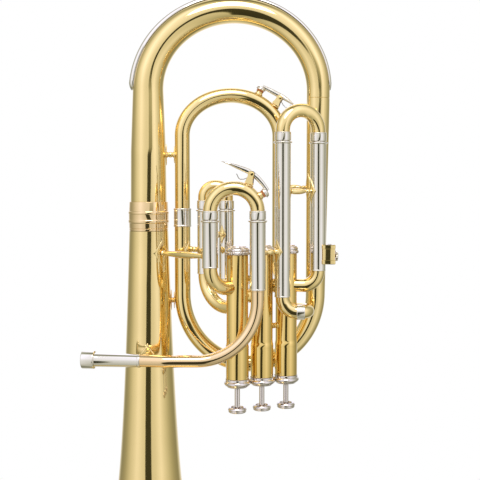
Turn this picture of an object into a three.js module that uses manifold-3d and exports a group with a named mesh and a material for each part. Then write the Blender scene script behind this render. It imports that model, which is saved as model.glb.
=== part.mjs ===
// An alto horn in E flat, standing on its bell: bell, bows, three piston valves, four tuning slides
// and two water keys, each piece a closed solid of its own.
// Millimetres. The origin is under the middle of the horn's width, level with the bell's rim. +Z
// runs up the bell towards the bottom bow, +X from the bell towards the outer leg, and -Y is the
// side the leadpipe is on. Sizes and places below are measured from the bell's axis, and the whole
// horn is shifted to its origin at the end.
import * as THREE from "three";
import { mergeVertices } from "three/addons/utils/BufferGeometryUtils.js";
import Module from "manifold-3d";

const wasm = await Module();
wasm.setup();

const UP = new THREE.Vector3(0, 0, 1);
const at = (x, y, z = 0) => new THREE.Vector3(x, y, z);

// ---- driving dimensions ----
const WALL = 0.7; // of brass tube
const GAP = 0.3; // clearance left between one piece and the next
const BEND_STEP = Math.PI / 6; // the longest turn between two rings of a bend
const TUBE_SIDES = 10;
const SLIDE_SIDES = 12;
const STAY_SIDES = 18; // of the cylinders that curve a foot round its tube
const VALVE_SIDES = 14;

const BELL_TOP = 349;
const BELL_SIDES = 22;
const RIM_RADIUS = 103;

const BOW = { left: 0, right: 155, spring: 477, rise: 72.4, jointLeft: 365.4, jointRight: 470 };
const BRANCH = { left: 30.9, right: 153.1, spring: 290.7, drop: 64.4, outer: 14.7, stay: 285 };
const BRANCH_OUTER = [
  [0, 14.7],
  [0.16, 14.7],
  [0.36, 16],
  [0.54, 17.3],
  [0.975, 21.2],
  [0.983, 19.2],
  [1, 19.2],
];
const INNER = {
  right: at(120.4, 8),
  spring: 436,
  rise: 37,
  joint: 361.3,
  port: 306,
  outer: 14,
  stay: 418.6,
};

const PIPE_OUTER = 12.3; // tubes between the slides and the valves
const SLEEVE = { outer: 13.9, bore: 13, ring: 16.3, ringTall: 1.8 };
const LEG = { outer: 12.4, bore: 11.2, collar: 14.4, collarTall: 7.7, crook: 12.4 };
const EDGE = 0.1; // the length of a sharp step in a turned or swept piece
const INSERT = 6; // how far a tube's end runs up into a sleeve
const LEG_CLEAR = INSERT + 2; // from a sleeve's end to the end of the leg in it

const VALVE = {
  first: at(81.3, -40),
  step: at(22, 10),
  bottom: 219.9,
  shoulder: 251,
  top: 329.4,
  outer: 19.3,
  baluster: 20.3,
  bore: 17.9,
  thread: 19,
  threadLow: 215.5,
  threadHigh: 333,
  travel: 16.2,
};
const PISTON = { low: 222.5, shoulder: 256, high: 319.5, outer: 17.3, barrel: 15.6, barrelBore: 13.4 };
const GUIDE = { low: 251, high: 254 };
const PORT_RADIUS = 5.4;

const MAIN = { left: 58, right: 98.9, y: -58, arc: 368.1, ring: 360.9, leftEnd: 319.6, rightEnd: 300.3 };
const FIRST = { left: 51.8, right: 71.3, y: -10, arc: 380, ring: 368.8, leftEnd: 310.3, rightEnd: 306 };
const THIRD = {
  left: at(121.3, -39),
  right: at(153.5, -24),
  arc: 439,
  ring: 429.4,
  leftEnd: 292.2,
  rightEnd: 314.3,
};
const SECOND = {
  aim: at(-0.2, 0.98).normalize(),
  low: 294.5,
  high: 312,
  sleeveStart: 17,
  ring: 37,
  arc: 46.5,
};
const PORT = {
  mainIn: 301,
  firstLeft: 282,
  firstRight: 298,
  link12: 293,
  link23: 301,
  thirdLeft: 278.9,
  thirdRight: 300.9,
};

const LEADPIPE = {
  bend: 52.7,
  level: 238.2,
  slantFrom: 20,
  end: at(-54.7, -48),
  outer: 10.8,
  neck: 8.8,
};
const RECEIVER = { length: 52.2, ringLong: 11.4, ring: 15.7, mouth: 12.4, bore: 9.8 };

const SCREW_PROUD = 2.7; // how far the lyre screw's head stands out from its box
const LYRE = {
  low: at(157, -31, 320.4),
  high: at(168.8, -17, 338),
  slot: at(3.5, 6),
  slotAt: 164.2,
  screwLevel: 327.8,
};

// ---- materials ----
const finish = (color, roughness, metalness) =>
  new THREE.MeshStandardMaterial({ color, roughness, metalness });
const lacquer = finish(0xd8bd78, 0.22, 1);
const goldBrass = finish(0xdcb084, 0.22, 1);
const nickel = finish(0xd3cbbd, 0.25, 1);
const monel = finish(0xb9b7ae, 0.3, 1);
const steel = finish(0x8f8f90, 0.35, 1);
const cork = finish(0xa8642e, 0.9, 0);

// ---- solids from three.js geometry ----

// A closed geometry as a manifold solid with its faces pointing out.
function solid(geometry) {
  const bare = geometry.clone();
  bare.deleteAttribute("normal");
  bare.deleteAttribute("uv");
  const merged = mergeVertices(bare, 1e-4);
  const corners = merged.index.array;
  const kept = [];
  for (let i = 0; i < corners.length; i += 3) {
    const [a, b, c] = corners.slice(i, i + 3);
    if (a !== b && b !== c && c !== a) kept.push(a, b, c);
  }
  const vertProperties = merged.attributes.position.array;
  const manifold = (faces) =>
    new wasm.Manifold(new wasm.Mesh({ numProp: 3, vertProperties, triVerts: new Uint32Array(faces) }));
  const made = manifold(kept);
  if (made.volume() > 0) return made;
  const flipped = [];
  for (let i = 0; i < kept.length; i += 3) flipped.push(kept[i], kept[i + 2], kept[i + 1]);
  return manifold(flipped);
}

// A named mesh from a manifold solid.
function piece(name, shape, material) {
  const { vertProperties, triVerts } = shape.getMesh();
  const geometry = new THREE.BufferGeometry();
  geometry.setAttribute("position", new THREE.BufferAttribute(new Float32Array(vertProperties), 3));
  geometry.setIndex(new THREE.BufferAttribute(new Uint32Array(triVerts), 1));
  geometry.computeVertexNormals();
  const mesh = new THREE.Mesh(geometry, material);
  mesh.name = name;
  return mesh;
}

// Skin over a row of rings with the same even number of points. A row that closes on itself is a
// pipe's wall; otherwise each end is closed by a ladder of faces across its ring.
function skin(rings, closesOnItself) {
  const count = rings[0].length;
  const faces = [];
  const links = closesOnItself ? rings.length : rings.length - 1;
  for (let i = 0; i < links; i++) {
    const here = i * count;
    const next = ((i + 1) % rings.length) * count;
    for (let k = 0; k < count; k++) {
      const beside = (k + 1) % count;
      faces.push(here + k, here + beside, next + beside, here + k, next + beside, next + k);
    }
  }
  if (!closesOnItself) {
    const last = (rings.length - 1) * count;
    for (let k = 0; k < count / 2 - 1; k++) {
      const far = count - 1 - k;
      faces.push(k, far, k + 1, k + 1, far, far - 1);
      faces.push(last + k, last + k + 1, last + far, last + k + 1, last + far - 1, last + far);
    }
  }
  const geometry = new THREE.BufferGeometry();
  const flat = rings.flat().flatMap((p) => [p.x, p.y, p.z]);
  geometry.setAttribute("position", new THREE.Float32BufferAttribute(flat, 3));
  geometry.setIndex(faces);
  return solid(geometry);
}

// A row of corners as a centreline, each corner rounded by its bend radius.
function centreline(corners, bends = []) {
  const points = [corners[0]];
  for (let i = 1; i < corners.length - 1; i++) {
    const radius = bends[i - 1];
    const inward = corners[i].clone().sub(corners[i - 1]).normalize();
    const outward = corners[i + 1].clone().sub(corners[i]).normalize();
    const turn = inward.angleTo(outward);
    if (turn < 0.01) {
      points.push(corners[i]);
      continue;
    }
    const side = outward.clone().addScaledVector(inward, -outward.dot(inward)).normalize();
    const start = corners[i].clone().addScaledVector(inward, -radius * Math.tan(turn / 2));
    const steps = Math.ceil(turn / BEND_STEP);
    for (let k = 0; k <= steps; k++) {
      const angle = (turn * k) / steps;
      const along = radius * Math.sin(angle);
      const across = radius * (1 - Math.cos(angle));
      points.push(start.clone().addScaledVector(inward, along).addScaledVector(side, across));
    }
  }
  points.push(corners[corners.length - 1]);
  return points.filter((p, i) => i === 0 || p.distanceTo(points[i - 1]) > 0.05);
}

// Half an ellipse from left to right through the point rise above (or drop below) its middle.
function halfEllipse(left, right, rise, steps = 10) {
  const middle = left.clone().lerp(right, 0.5);
  const arm = right.clone().sub(middle);
  const points = [];
  for (let k = 0; k <= steps; k++) {
    const angle = Math.PI * (1 - k / steps);
    const across = middle.clone().addScaledVector(arm, Math.cos(angle));
    points.push(across.addScaledVector(UP, rise * Math.sin(angle)));
  }
  return points;
}

// The value at a place between stops, each [place, value].
function between(stops, place) {
  const after = stops.findIndex(([stop]) => stop >= place);
  if (after <= 0) return stops[after < 0 ? stops.length - 1 : 0][1];
  const [p0, v0] = stops[after - 1];
  const [p1, v1] = stops[after];
  return v0 + ((v1 - v0) * (place - p0)) / (p1 - p0);
}

// Each point of a path with its direction, its share of the length and a side that doesn't twist.
function framed(points) {
  const lengths = [0];
  for (let i = 1; i < points.length; i++) {
    lengths.push(lengths[i - 1] + points[i].distanceTo(points[i - 1]));
  }
  const whole = lengths[lengths.length - 1];
  let side;
  return points.map((point, i) => {
    const before = points[Math.max(i - 1, 0)];
    const after = points[Math.min(i + 1, points.length - 1)];
    const inward = point.clone().sub(before).normalize();
    const outward = after.clone().sub(point).normalize();
    const along = inward.add(outward).normalize();
    if (!side) side = Math.abs(along.y) < 0.9 ? at(0, 1) : at(1, 0);
    side = side.clone().addScaledVector(along, -side.dot(along)).normalize();
    return { point, along, side, up: along.clone().cross(side), share: lengths[i] / whole };
  });
}

function circle({ point, side, up }, radius, sides) {
  const ring = [];
  for (let k = 0; k < sides; k++) {
    const angle = (2 * Math.PI * (k + 0.5)) / sides;
    const across = point.clone().addScaledVector(side, radius * Math.cos(angle));
    ring.push(across.addScaledVector(up, radius * Math.sin(angle)));
  }
  return ring;
}

// A solid round bar along a path.
function bar(points, diameter, sides = TUBE_SIDES) {
  return skin(framed(points).map((frame) => circle(frame, diameter / 2, sides)), false);
}

// A tube along a path. outer is a diameter, or stops of [share of the length, diameter], or says
// the diameter at each point.
function tube(points, outer, sides = TUBE_SIDES) {
  const frames = framed(points);
  const radius = ({ point, share }) => {
    if (typeof outer === "function") return outer(point) / 2;
    return (typeof outer === "number" ? outer : between(outer, share)) / 2;
  };
  const outside = frames.map((frame) => circle(frame, radius(frame), sides));
  const inside = frames.map((frame) => circle(frame, radius(frame) - WALL, sides));
  return skin([...outside, ...inside.reverse()], true);
}

// A piece turned about +Z from its outline of [radius, height], then aimed along a direction.
// An outline that doesn't touch the axis at both ends closes on itself.
function turned(outline, sides, origin = at(0, 0), direction = UP) {
  const onAxis = outline[0][0] === 0 && outline[outline.length - 1][0] === 0;
  const closed = onAxis ? outline : [...outline, outline[0]];
  const geometry = new THREE.LatheGeometry(closed.map(([r, h]) => new THREE.Vector2(r, h)), sides);
  geometry.rotateX(Math.PI / 2);
  geometry.applyQuaternion(new THREE.Quaternion().setFromUnitVectors(UP, direction.clone().normalize()));
  geometry.translate(origin.x, origin.y, origin.z);
  return solid(geometry);
}

const cylinder = (radius, low, high, sides, origin, direction) =>
  turned([[0, low], [radius, low], [radius, high], [0, high]], sides, origin, direction);

const collar = (inner, outer, low, high, sides, origin, direction) =>
  turned([[inner, low], [outer, low], [outer, high], [inner, high]], sides, origin, direction);

function box(low, high) {
  const size = high.clone().sub(low);
  const geometry = new THREE.BoxGeometry(size.x, size.y, size.z);
  const middle = low.clone().lerp(high, 0.5);
  geometry.translate(middle.x, middle.y, middle.z);
  return solid(geometry);
}

// ---- bell, bows and branches ----

const bellRadius = (z) => (58.4 * Math.pow(125 / (z + 3.8), 0.4) - 2.3 * Math.pow(z / 340, 3)) / 2;

function bell() {
  const heights = [2.3, 4.5, 9, 18, 35, 65, 115, 210, BELL_TOP];
  const outside = heights.map((z) => at(bellRadius(z), z));
  const inside = outside.map((p, i) => {
    const before = outside[Math.max(i - 1, 0)];
    const after = outside[Math.min(i + 1, outside.length - 1)];
    const run = after.clone().sub(before).normalize();
    return at(p.x - WALL * run.y, p.y + WALL * run.x);
  });
  const rim = [
    [99.4, 0],
    [102.2, 0],
    [RIM_RADIUS, 1.7],
    [102.2, 3.4],
    [100, 3.4],
  ];
  const flat = (points) => points.map((p) => [p.x, p.y]);
  return turned([...flat(inside).reverse(), ...rim, ...flat(outside)], BELL_SIDES);
}

const bellFerrule = () =>
  turned(
    [
      [17.1, 343], [17.1, 349.3], [18, 349.3], [18.1, 353.6], [18.7, 354.6], [18.4, 356],
      [18.5, 362], [18.6, 363.4], [18, 364.6], [17.9, 369], [17.7, 375.6], [17.2, 375.6],
      [17.2, 365], [16.2, 364.6], [16.2, 343],
    ],
    16,
  );

function bowPath() {
  const left = at(BOW.left, 0, BOW.spring);
  const right = at(BOW.right, 0, BOW.spring);
  const arch = halfEllipse(left, right, BOW.rise, 10);
  return [at(BOW.left, 0, BOW.jointLeft), at(BOW.left, 0, 423), ...arch, at(BOW.right, 0, BOW.jointRight)];
}
const BOW_OUTER = [[0, 33.4], [0.16, 32.4], [0.315, 28.2], [0.647, 24.4], [0.98, 21.2], [1, 21.2]];

const bottomBow = () => tube(bowPath(), BOW_OUTER, 14);

// A narrow strip soldered along the outside of the bow, thick in its middle and thin at its edges.
function bowGuard() {
  const frames = framed(bowPath()).slice(2, -1);
  const halfWidth = (24 * Math.PI) / 180;
  const middle = at((BOW.left + BOW.right) / 2, 0, BOW.spring);
  const rings = frames.map(({ point, along, share }) => {
    const across = at(0, 1);
    const out = across.clone().cross(along).normalize();
    if (out.dot(point.clone().sub(middle)) < 0) out.negate();
    const radius = (between(BOW_OUTER, share) / 2 + GAP) * 1.032;
    const proud = between([[0.3, 3.2], [1, 0.9]], share);
    const arc = (extra) =>
      [-1, -0.6, -0.2, 0.2, 0.6, 1].map((turn) => {
        const angle = turn * halfWidth;
        const reach = radius + extra * (1 - 0.75 * turn * turn);
        const outwards = point.clone().addScaledVector(out, reach * Math.cos(angle));
        return outwards.addScaledVector(across, reach * Math.sin(angle));
      });
    return [...arc(proud), ...arc(0).reverse()];
  });
  return skin(rings, false);
}

function branchPath() {
  const left = at(BRANCH.left, 0, BRANCH.spring);
  const right = at(BRANCH.right, 0, BRANCH.spring);
  const sag = halfEllipse(left, right, -BRANCH.drop);
  const neck = [BOW.jointRight - GAP - 1, BOW.jointRight + INSERT].map((z) => at(BOW.right, 0, z));
  return [at(BRANCH.left, 0, INNER.joint - 0.4), ...sag, ...neck];
}

// The first branch, its neck inside the bow's end, and the stay that joins its left leg to the bell.
function firstBranch() {
  const stay = legStayToBell(BRANCH.stay, bellRadius(BRANCH.stay) + GAP);
  return withRoom(tube(branchPath(), BRANCH_OUTER), stay, branchPath(), BRANCH.outer / 2 - WALL);
}

// A short bar from the left leg to the tube on the bell's axis, hollowed to that tube's radius.
function legStayToBell(level, radius) {
  const shape = bar([at(radius, 0, level), at(BRANCH.left, 0, level)], 6);
  return shape.subtract(cylinder(radius, level - 10, level + 10, 32));
}

// A tube joined to a stay, with the tube's bore cut clear of the stay.
function withRoom(pipe, stay, path, boreRadius) {
  const room = bar(path.slice(0, 3), 2 * boreRadius);
  return pipe.add(stay.subtract(room));
}

function innerBowPath() {
  const left = at(BRANCH.left, 0, INNER.spring);
  const right = at(INNER.right.x, INNER.right.y, INNER.spring);
  const arch = halfEllipse(left, right, INNER.rise);
  const corner = at(INNER.right.x, INNER.right.y, INNER.port);
  const elbow = centreline([right, corner, valveAxis(2).setZ(INNER.port)], [12]);
  return [at(BRANCH.left, 0, INNER.joint), ...arch, ...elbow.slice(1)];
}

// The inner bow runs from the back of valve 3 to the left leg; it carries the second drain nipple.
function innerBow() {
  const stay = legStayToBell(INNER.stay, 16.25 + GAP);
  const bow = tube(innerBowPath(), INNER.outer).add(nipple(KEY_2));
  const pipe = withRoom(bow, stay, innerBowPath(), INNER.outer / 2 - WALL);
  return pipe.subtract(valveClearance(2)).subtract(drain(KEY_2));
}

const innerBowFerrule = () =>
  collar(7.75, 8.25, 352.7, 369.7, 20, at(BRANCH.left, 0));

// ---- leadpipe and mouthpiece receiver ----

const slant = LEADPIPE.end.clone().sub(at(LEADPIPE.slantFrom, MAIN.y)).normalize();
const receiverStart = LEADPIPE.end.clone().addScaledVector(slant, -RECEIVER.length).setZ(LEADPIPE.level);

function leadpipe() {
  const corners = [
    at(MAIN.right, MAIN.y, MAIN.rightEnd + INSERT),
    at(MAIN.right, MAIN.y, LEADPIPE.level),
    at(LEADPIPE.slantFrom, MAIN.y, LEADPIPE.level),
    receiverStart.clone().addScaledVector(slant, -GAP - EDGE),
    receiverStart.clone().addScaledVector(slant, -GAP),
    receiverStart.clone().addScaledVector(slant, INSERT),
  ];
  const path = centreline(corners, [LEADPIPE.bend, 40, 0, 0]);
  const outer = ({ x, z }) => {
    if (x < receiverStart.x + GAP + EDGE / 2) return LEADPIPE.neck;
    return z > MAIN.rightEnd - GAP ? PIPE_OUTER : LEADPIPE.outer;
  };
  return tube(path, outer, SLIDE_SIDES);
}

// The receiver's socket narrows from the mouth, and its far end slips over the leadpipe's neck.
function mouthpieceReceiver() {
  const { length, ringLong, ring, mouth, bore } = RECEIVER;
  const outline = [
    [4.75, 0],
    [LEADPIPE.outer / 2, 0],
    [mouth / 2, length - ringLong],
    [ring / 2, length - ringLong],
    [ring / 2, length],
    [bore / 2, length],
    [4.3, length - 28],
    [4.3, INSERT + 1],
    [4.75, INSERT + 1],
  ];
  return turned(outline, 20, receiverStart, slant);
}

// ---- valves ----

const valveAxis = (index) => VALVE.first.clone().addScaledVector(VALVE.step, index);
const valveClearance = (index) =>
  cylinder(VALVE.outer / 2 + GAP, 255, 326, VALVE_SIDES, valveAxis(index));

// Where each tube meets a casing: the level, and the direction from the valve's axis.
function valvePorts(index) {
  const axis = valveAxis(index);
  const towards = (x, y) => at(x, y).sub(axis).normalize();
  const row = VALVE.step.clone().normalize();
  const ports = [
    [
      [PORT.mainIn, towards(MAIN.left, MAIN.y)],
      [PORT.link12, row],
      [PORT.firstLeft, towards(FIRST.left, FIRST.y)],
      [PORT.firstRight, towards(FIRST.right, FIRST.y)],
    ],
    [
      [PORT.link12, row.clone().negate()],
      [PORT.link23, row],
      [SECOND.low, SECOND.aim],
      [SECOND.high, SECOND.aim],
    ],
    [
      [PORT.link23, row.clone().negate()],
      [INNER.port, towards(INNER.right.x, INNER.right.y)],
      [PORT.thirdLeft, at(1, 0)],
      [PORT.thirdRight, towards(THIRD.right.x, THIRD.right.y)],
    ],
  ];
  return ports[index];
}

// In the valve's own frame, whose axis is Z: a casing with its threaded ends and its ports.
function casing(index) {
  const { bottom, shoulder, top, outer, baluster, bore, thread, threadLow, threadHigh } = VALVE;
  const outline = [
    [bore / 2, threadLow],
    [thread / 2, threadLow],
    [thread / 2, bottom],
    [baluster / 2, bottom],
    [baluster / 2, shoulder - 1],
    [outer / 2, shoulder],
    [outer / 2, top],
    [thread / 2, top],
    [thread / 2, threadHigh],
    [bore / 2, threadHigh],
  ];
  let shape = turned(outline, VALVE_SIDES);
  const room = cylinder(bore / 2, threadLow, threadHigh, VALVE_SIDES);
  for (const extra of casingJoins(index)) shape = shape.add(extra.subtract(room));
  for (const [level, direction] of valvePorts(index)) {
    const alongRow = Math.abs(direction.dot(VALVE.step)) > 20;
    const far = index === 1 && alongRow ? 20 : 12;
    const end = at(0, 0, level).addScaledVector(direction, far);
    shape = shape.subtract(bar([at(0, 0, level), end], 2 * PORT_RADIUS, 8));
  }
  return shape;
}

// The link tubes belong to the middle casing and the stay to the third.
function casingJoins(index) {
  const reach = VALVE.step.length();
  const row = VALVE.step.clone().normalize();
  const link = (level, way, diameter) => {
    const to = at(0, 0, level).addScaledVector(row, way * reach);
    const beside = VALVE.step.clone().multiplyScalar(way);
    const clear = cylinder(VALVE.outer / 2 + GAP, level - 12, level + 12, VALVE_SIDES, beside);
    return bar([at(0, 0, level), to], diameter, 10).subtract(clear);
  };
  if (index === 1) return [link(PORT.link12, -1, PIPE_OUTER), link(PORT.link23, 1, PIPE_OUTER)];
  if (index === 2) return [link(265, -1, 5)];
  return [];
}

// A piston: the ported body, and above its shoulder the slotted barrel that houses the spring.
function piston(index) {
  const { low, shoulder, high, outer, barrel, barrelBore } = PISTON;
  const outline = [
    [0, low],
    [barrel / 2, low],
    [barrel / 2, shoulder],
    [outer / 2, shoulder],
    [outer / 2, high],
    [0, high],
  ];
  const stemHole = cylinder(2, low - 1, shoulder, 16);
  const springRoom = cylinder(barrelBore / 2, low + 2, shoulder, VALVE_SIDES);
  let shape = turned(outline, VALVE_SIDES).subtract(stemHole).subtract(springRoom);
  const slotLow = GUIDE.low - VALVE.travel - GAP;
  shape = shape.subtract(box(at(-12, -1.6, slotLow), at(12, 1.6, GUIDE.high + GAP)));
  const ports = valvePorts(index);
  const passage = (first, second, drop) => {
    const middle = (first[0] + second[0]) / 2 - drop;
    const end = ([level, direction]) => at(0, 0, level - drop).addScaledVector(direction, 12);
    return bar([end(first), at(0, 0, middle), end(second)], 2 * PORT_RADIUS - 1, 6);
  };
  return shape.subtract(passage(ports[0], ports[1], 0)).subtract(passage(ports[0], ports[3], VALVE.travel));
}

// The guide is fixed across the casing; its fins run in the barrel's slot and the spring sits on it.
function valveGuide() {
  const disc = cylinder(5.9, GUIDE.low, GUIDE.high, 12);
  const fins = box(at(-8.6, -1.3, GUIDE.low + EDGE), at(8.6, 1.3, GUIDE.high - EDGE));
  return disc.add(fins).subtract(cylinder(2, GUIDE.low - 1, GUIDE.high + 1, 8));
}

function valveSpring() {
  const coils = 4;
  const perCoil = 8;
  const radius = 5;
  const low = PISTON.low + 2.6;
  const high = GUIDE.low - 0.6;
  const points = [];
  for (let k = 0; k <= coils * perCoil; k++) {
    const angle = (2 * Math.PI * k) / perCoil;
    const level = low + ((high - low) * k) / (coils * perCoil);
    points.push(at(radius * Math.cos(angle), radius * Math.sin(angle), level));
  }
  return bar(points, 1.1, 4);
}

// The stem screws into the barrel's end; its button is a shallow dish with a rounded edge.
function stemAndButton() {
  const outline = [
    [0, 188.9],
    [7, 188.9],
    [8.3, 190.4],
    [8.3, 192.4],
    [6.6, 194.2],
    [2.4, 194.2],
    [2.4, PISTON.low - GAP],
    [1.6, PISTON.low - GAP],
    [1.6, PISTON.low + 2],
    [0, PISTON.low + 2],
  ];
  return turned(outline, 14);
}

const topCap = () =>
  turned(
    [
      [2.9, 211.4], [8.6, 211.4], [11.85, 214.4], [11.85, 219.6],
      [9.8, 219.6], [9.8, 215.2], [8.9, 215.2], [8.9, 213.4], [2.9, 213.4],
    ],
    VALVE_SIDES,
  );

const bottomCap = () =>
  turned(
    [
      [2.6, 336.9], [9.8, 336.9], [9.8, 329.8], [11.15, 329.8], [11.15, 332.6], [10.3, 333.4],
      [10.1, 336.4], [8.4, 337.9], [2.6, 337.9],
    ],
    VALVE_SIDES,
  );

function valve(index) {
  const name = "valve_" + (index + 1);
  const group = new THREE.Group();
  group.position.copy(valveAxis(index));
  group.add(
    piece(name + "_casing", casing(index), lacquer),
    piece(name + "_piston", piston(index), monel),
    piece(name + "_button", stemAndButton(), nickel),
    piece(name + "_top_cap", topCap(), nickel),
    piece(name + "_bottom_cap", bottomCap(), nickel),
    piece(name + "_spring", valveSpring(), steel),
    piece(name + "_guide", valveGuide(), monel),
  );
  return group;
}

// ---- slides ----

// An outer sleeve: a thin tube with a ring at its mouth.
function sleeve(x, y, ringTop, end) {
  const { outer, bore, ring, ringTall } = SLEEVE;
  const outline = [
    [bore / 2, end],
    [outer / 2, end],
    [outer / 2, ringTop - ringTall],
    [ring / 2, ringTop - ringTall],
    [ring / 2, ringTop],
    [bore / 2, ringTop],
  ];
  return turned(outline, SLIDE_SIDES, at(x, y));
}

// An inner leg: it runs down into the sleeve, and its collar takes the crook's end.
function slideLeg(x, y, ringTop, end) {
  const { outer, bore, collar: wide, collarTall, crook } = LEG;
  const low = ringTop + 0.6;
  const outline = [
    [bore / 2, end],
    [outer / 2, end],
    [outer / 2, low],
    [wide / 2, low],
    [wide / 2, low + collarTall],
    [crook / 2 + 0.6, low + collarTall],
    [crook / 2 + 0.6, low + 2],
    [bore / 2, low + 2],
  ];
  return turned(outline, SLIDE_SIDES, at(x, y));
}

// A half-turn crook between two legs, from the level start.
function crookPath(left, right, arc, start) {
  const half = left.distanceTo(right) / 2;
  const corners = [
    left.clone().setZ(start),
    left.clone().setZ(arc + half),
    right.clone().setZ(arc + half),
    right.clone().setZ(start),
  ];
  return centreline(corners, [half, half]);
}

// A crook with its legs and collars, one piece soldered together.
function crookWithLegs(left, right, slide) {
  const { bore, outer, collar: wide, collarTall, crook } = LEG;
  const low = slide.ring + 0.6;
  const high = low + collarTall;
  const climb = (foot, end) => [end, low, low + EDGE, high, high + EDGE].map((z) => foot.clone().setZ(z));
  const arch = crookPath(left, right, slide.arc, high + 2 * EDGE);
  const leftLeg = climb(left, slide.leftEnd + LEG_CLEAR);
  const rightLeg = climb(right, slide.rightEnd + LEG_CLEAR);
  const path = [...leftLeg, ...arch.slice(1, -1), ...rightLeg.reverse()];
  const diameter = ({ z }) => {
    if (z > high) return crook;
    return z > low ? wide : outer;
  };
  const frames = framed(path);
  const outside = frames.map((frame) => circle(frame, diameter(frame.point) / 2, SLIDE_SIDES));
  const apart = frames.filter(({ point }) => point.z <= low || point.z > high);
  const inside = apart.map((frame) => circle(frame, bore / 2, SLIDE_SIDES));
  return skin([...outside, ...inside.reverse()], true);
}

const sleeveRoom = (foot) => cylinder(SLEEVE.bore / 2, 285, 440, SLIDE_SIDES, foot);

// Two sleeves joined by a stay, cut clear inside.
function sleevePair(left, right, slide, level) {
  const stay = bar([left.clone().setZ(level), right.clone().setZ(level)], 5);
  const leftSleeve = sleeve(left.x, left.y, slide.ring, slide.leftEnd);
  const rightSleeve = sleeve(right.x, right.y, slide.ring, slide.rightEnd);
  let shape = leftSleeve.add(rightSleeve).add(stay);
  for (const foot of [left, right]) shape = shape.subtract(sleeveRoom(foot));
  return shape;
}

// A tube from a sleeve's end to a valve: corners from the sleeve down, then to the valve's side.
function elbow(index, corners, bends) {
  return tube(centreline(corners, bends), PIPE_OUTER).subtract(valveClearance(index));
}

function mainSlide() {
  const left = at(MAIN.left, MAIN.y);
  const right = at(MAIN.right, MAIN.y);
  const { ring, leftEnd, rightEnd } = MAIN;
  const bend = tube(crookPath(left, right, MAIN.arc, ring + 3), LEG.crook, SLIDE_SIDES);
  const crook = bend.add(nipple(KEY_1)).subtract(drain(KEY_1));
  const down = [
    left.clone().setZ(leftEnd + INSERT),
    left.clone().setZ(PORT.mainIn),
    valveAxis(0).setZ(PORT.mainIn),
  ];
  return [
    piece("main_slide_sleeve_left", sleeve(left.x, left.y, ring, leftEnd), nickel),
    piece("main_slide_sleeve_right", sleeve(right.x, right.y, ring, rightEnd), nickel),
    piece("main_slide_leg_left", slideLeg(left.x, left.y, ring, leftEnd + LEG_CLEAR), nickel),
    piece("main_slide_leg_right", slideLeg(right.x, right.y, ring, rightEnd + LEG_CLEAR), nickel),
    piece("main_slide_crook", crook, lacquer),
    piece("main_slide_elbow", elbow(0, down, [18]), lacquer),
  ];
}

function firstSlide() {
  const left = at(FIRST.left, FIRST.y);
  const right = at(FIRST.right, FIRST.y);
  const leg = at(BRANCH.left, 0);
  const stayLevel = 332;
  const clear = cylinder(BRANCH.outer / 2 + GAP, stayLevel - 8, stayLevel + 8, SLIDE_SIDES, leg);
  const stay = bar([leg.clone().setZ(stayLevel), left.clone().setZ(stayLevel)], 5);
  const outer = sleevePair(left, right, FIRST, 346).add(stay.subtract(clear).subtract(sleeveRoom(left)));
  const down = (foot, end, port) => [
    foot.clone().setZ(end + INSERT),
    foot.clone().setZ(port),
    valveAxis(0).setZ(port),
  ];
  const leftDown = down(left, FIRST.leftEnd, PORT.firstLeft);
  const rightDown = down(right, FIRST.rightEnd, PORT.firstRight);
  return [
    piece("first_slide_sleeves", outer, nickel),
    piece("first_slide_crook", crookWithLegs(left, right, FIRST), lacquer),
    piece("first_slide_elbow_left", elbow(0, leftDown, [28]), lacquer),
    piece("first_slide_elbow_right", elbow(0, rightDown, [8]), lacquer),
  ];
}

// The second slide lies behind valve 2 and points away from the player's hand.
function secondSlide() {
  const { aim, low, high, sleeveStart, ring, arc } = SECOND;
  const from = valveAxis(1);
  const point = (distance, level) => from.clone().addScaledVector(aim, distance).setZ(level);
  const half = (high - low) / 2;
  const outline = [
    [PIPE_OUTER / 2 - WALL, 6],
    [PIPE_OUTER / 2, 6],
    [PIPE_OUTER / 2, sleeveStart],
    [SLEEVE.outer / 2, sleeveStart],
    [SLEEVE.outer / 2, ring - SLEEVE.ringTall],
    [SLEEVE.ring / 2, ring - SLEEVE.ringTall],
    [SLEEVE.ring / 2, ring],
    [SLEEVE.bore / 2, ring],
    [SLEEVE.bore / 2, sleeveStart + 2],
    [PIPE_OUTER / 2 - WALL, sleeveStart + 2],
  ];
  const sleeveAt = (level) => {
    const pipe = turned(outline, SLIDE_SIDES, from.clone().setZ(level), aim);
    return pipe.subtract(valveClearance(1));
  };
  const web = box(at(-1.2, -1.5, low + 6.8), at(1.2, 1.5, high - 6.8)).translate(point(30, 0).toArray());
  const legStart = sleeveStart + 3;
  const corners = [
    point(legStart, low),
    point(arc + half, low),
    point(arc + half, high),
    point(legStart, high),
  ];
  const bow = centreline(corners, [half, half]);
  return [
    piece("second_slide_sleeves", sleeveAt(low).add(sleeveAt(high)).add(web), nickel),
    piece("second_slide_crook", tube(bow, LEG.outer, SLIDE_SIDES), lacquer),
  ];
}

function thirdSlide() {
  const { left, right } = THIRD;
  const turnX = 144;
  const level = PORT.thirdLeft;
  const valveY = valveAxis(2).y;
  const knuckle = [
    left.clone().setZ(THIRD.leftEnd + INSERT),
    left.clone().setZ(level),
    at(turnX, left.y, level),
    at(turnX, valveY, level),
    valveAxis(2).setZ(level),
  ];
  const half = (valveY - left.y) / 2;
  const down = [
    right.clone().setZ(THIRD.rightEnd + INSERT),
    right.clone().setZ(PORT.thirdRight),
    valveAxis(2).setZ(PORT.thirdRight),
  ];
  return [
    piece("third_slide_sleeves", sleevePair(left, right, THIRD, 385.5), nickel),
    piece("third_slide_crook", crookWithLegs(left, right, THIRD), lacquer),
    piece("third_slide_knuckle", elbow(2, knuckle, [13, half, half]), lacquer),
    piece("third_slide_elbow", elbow(2, down, [13]), lacquer),
  ];
}

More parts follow.
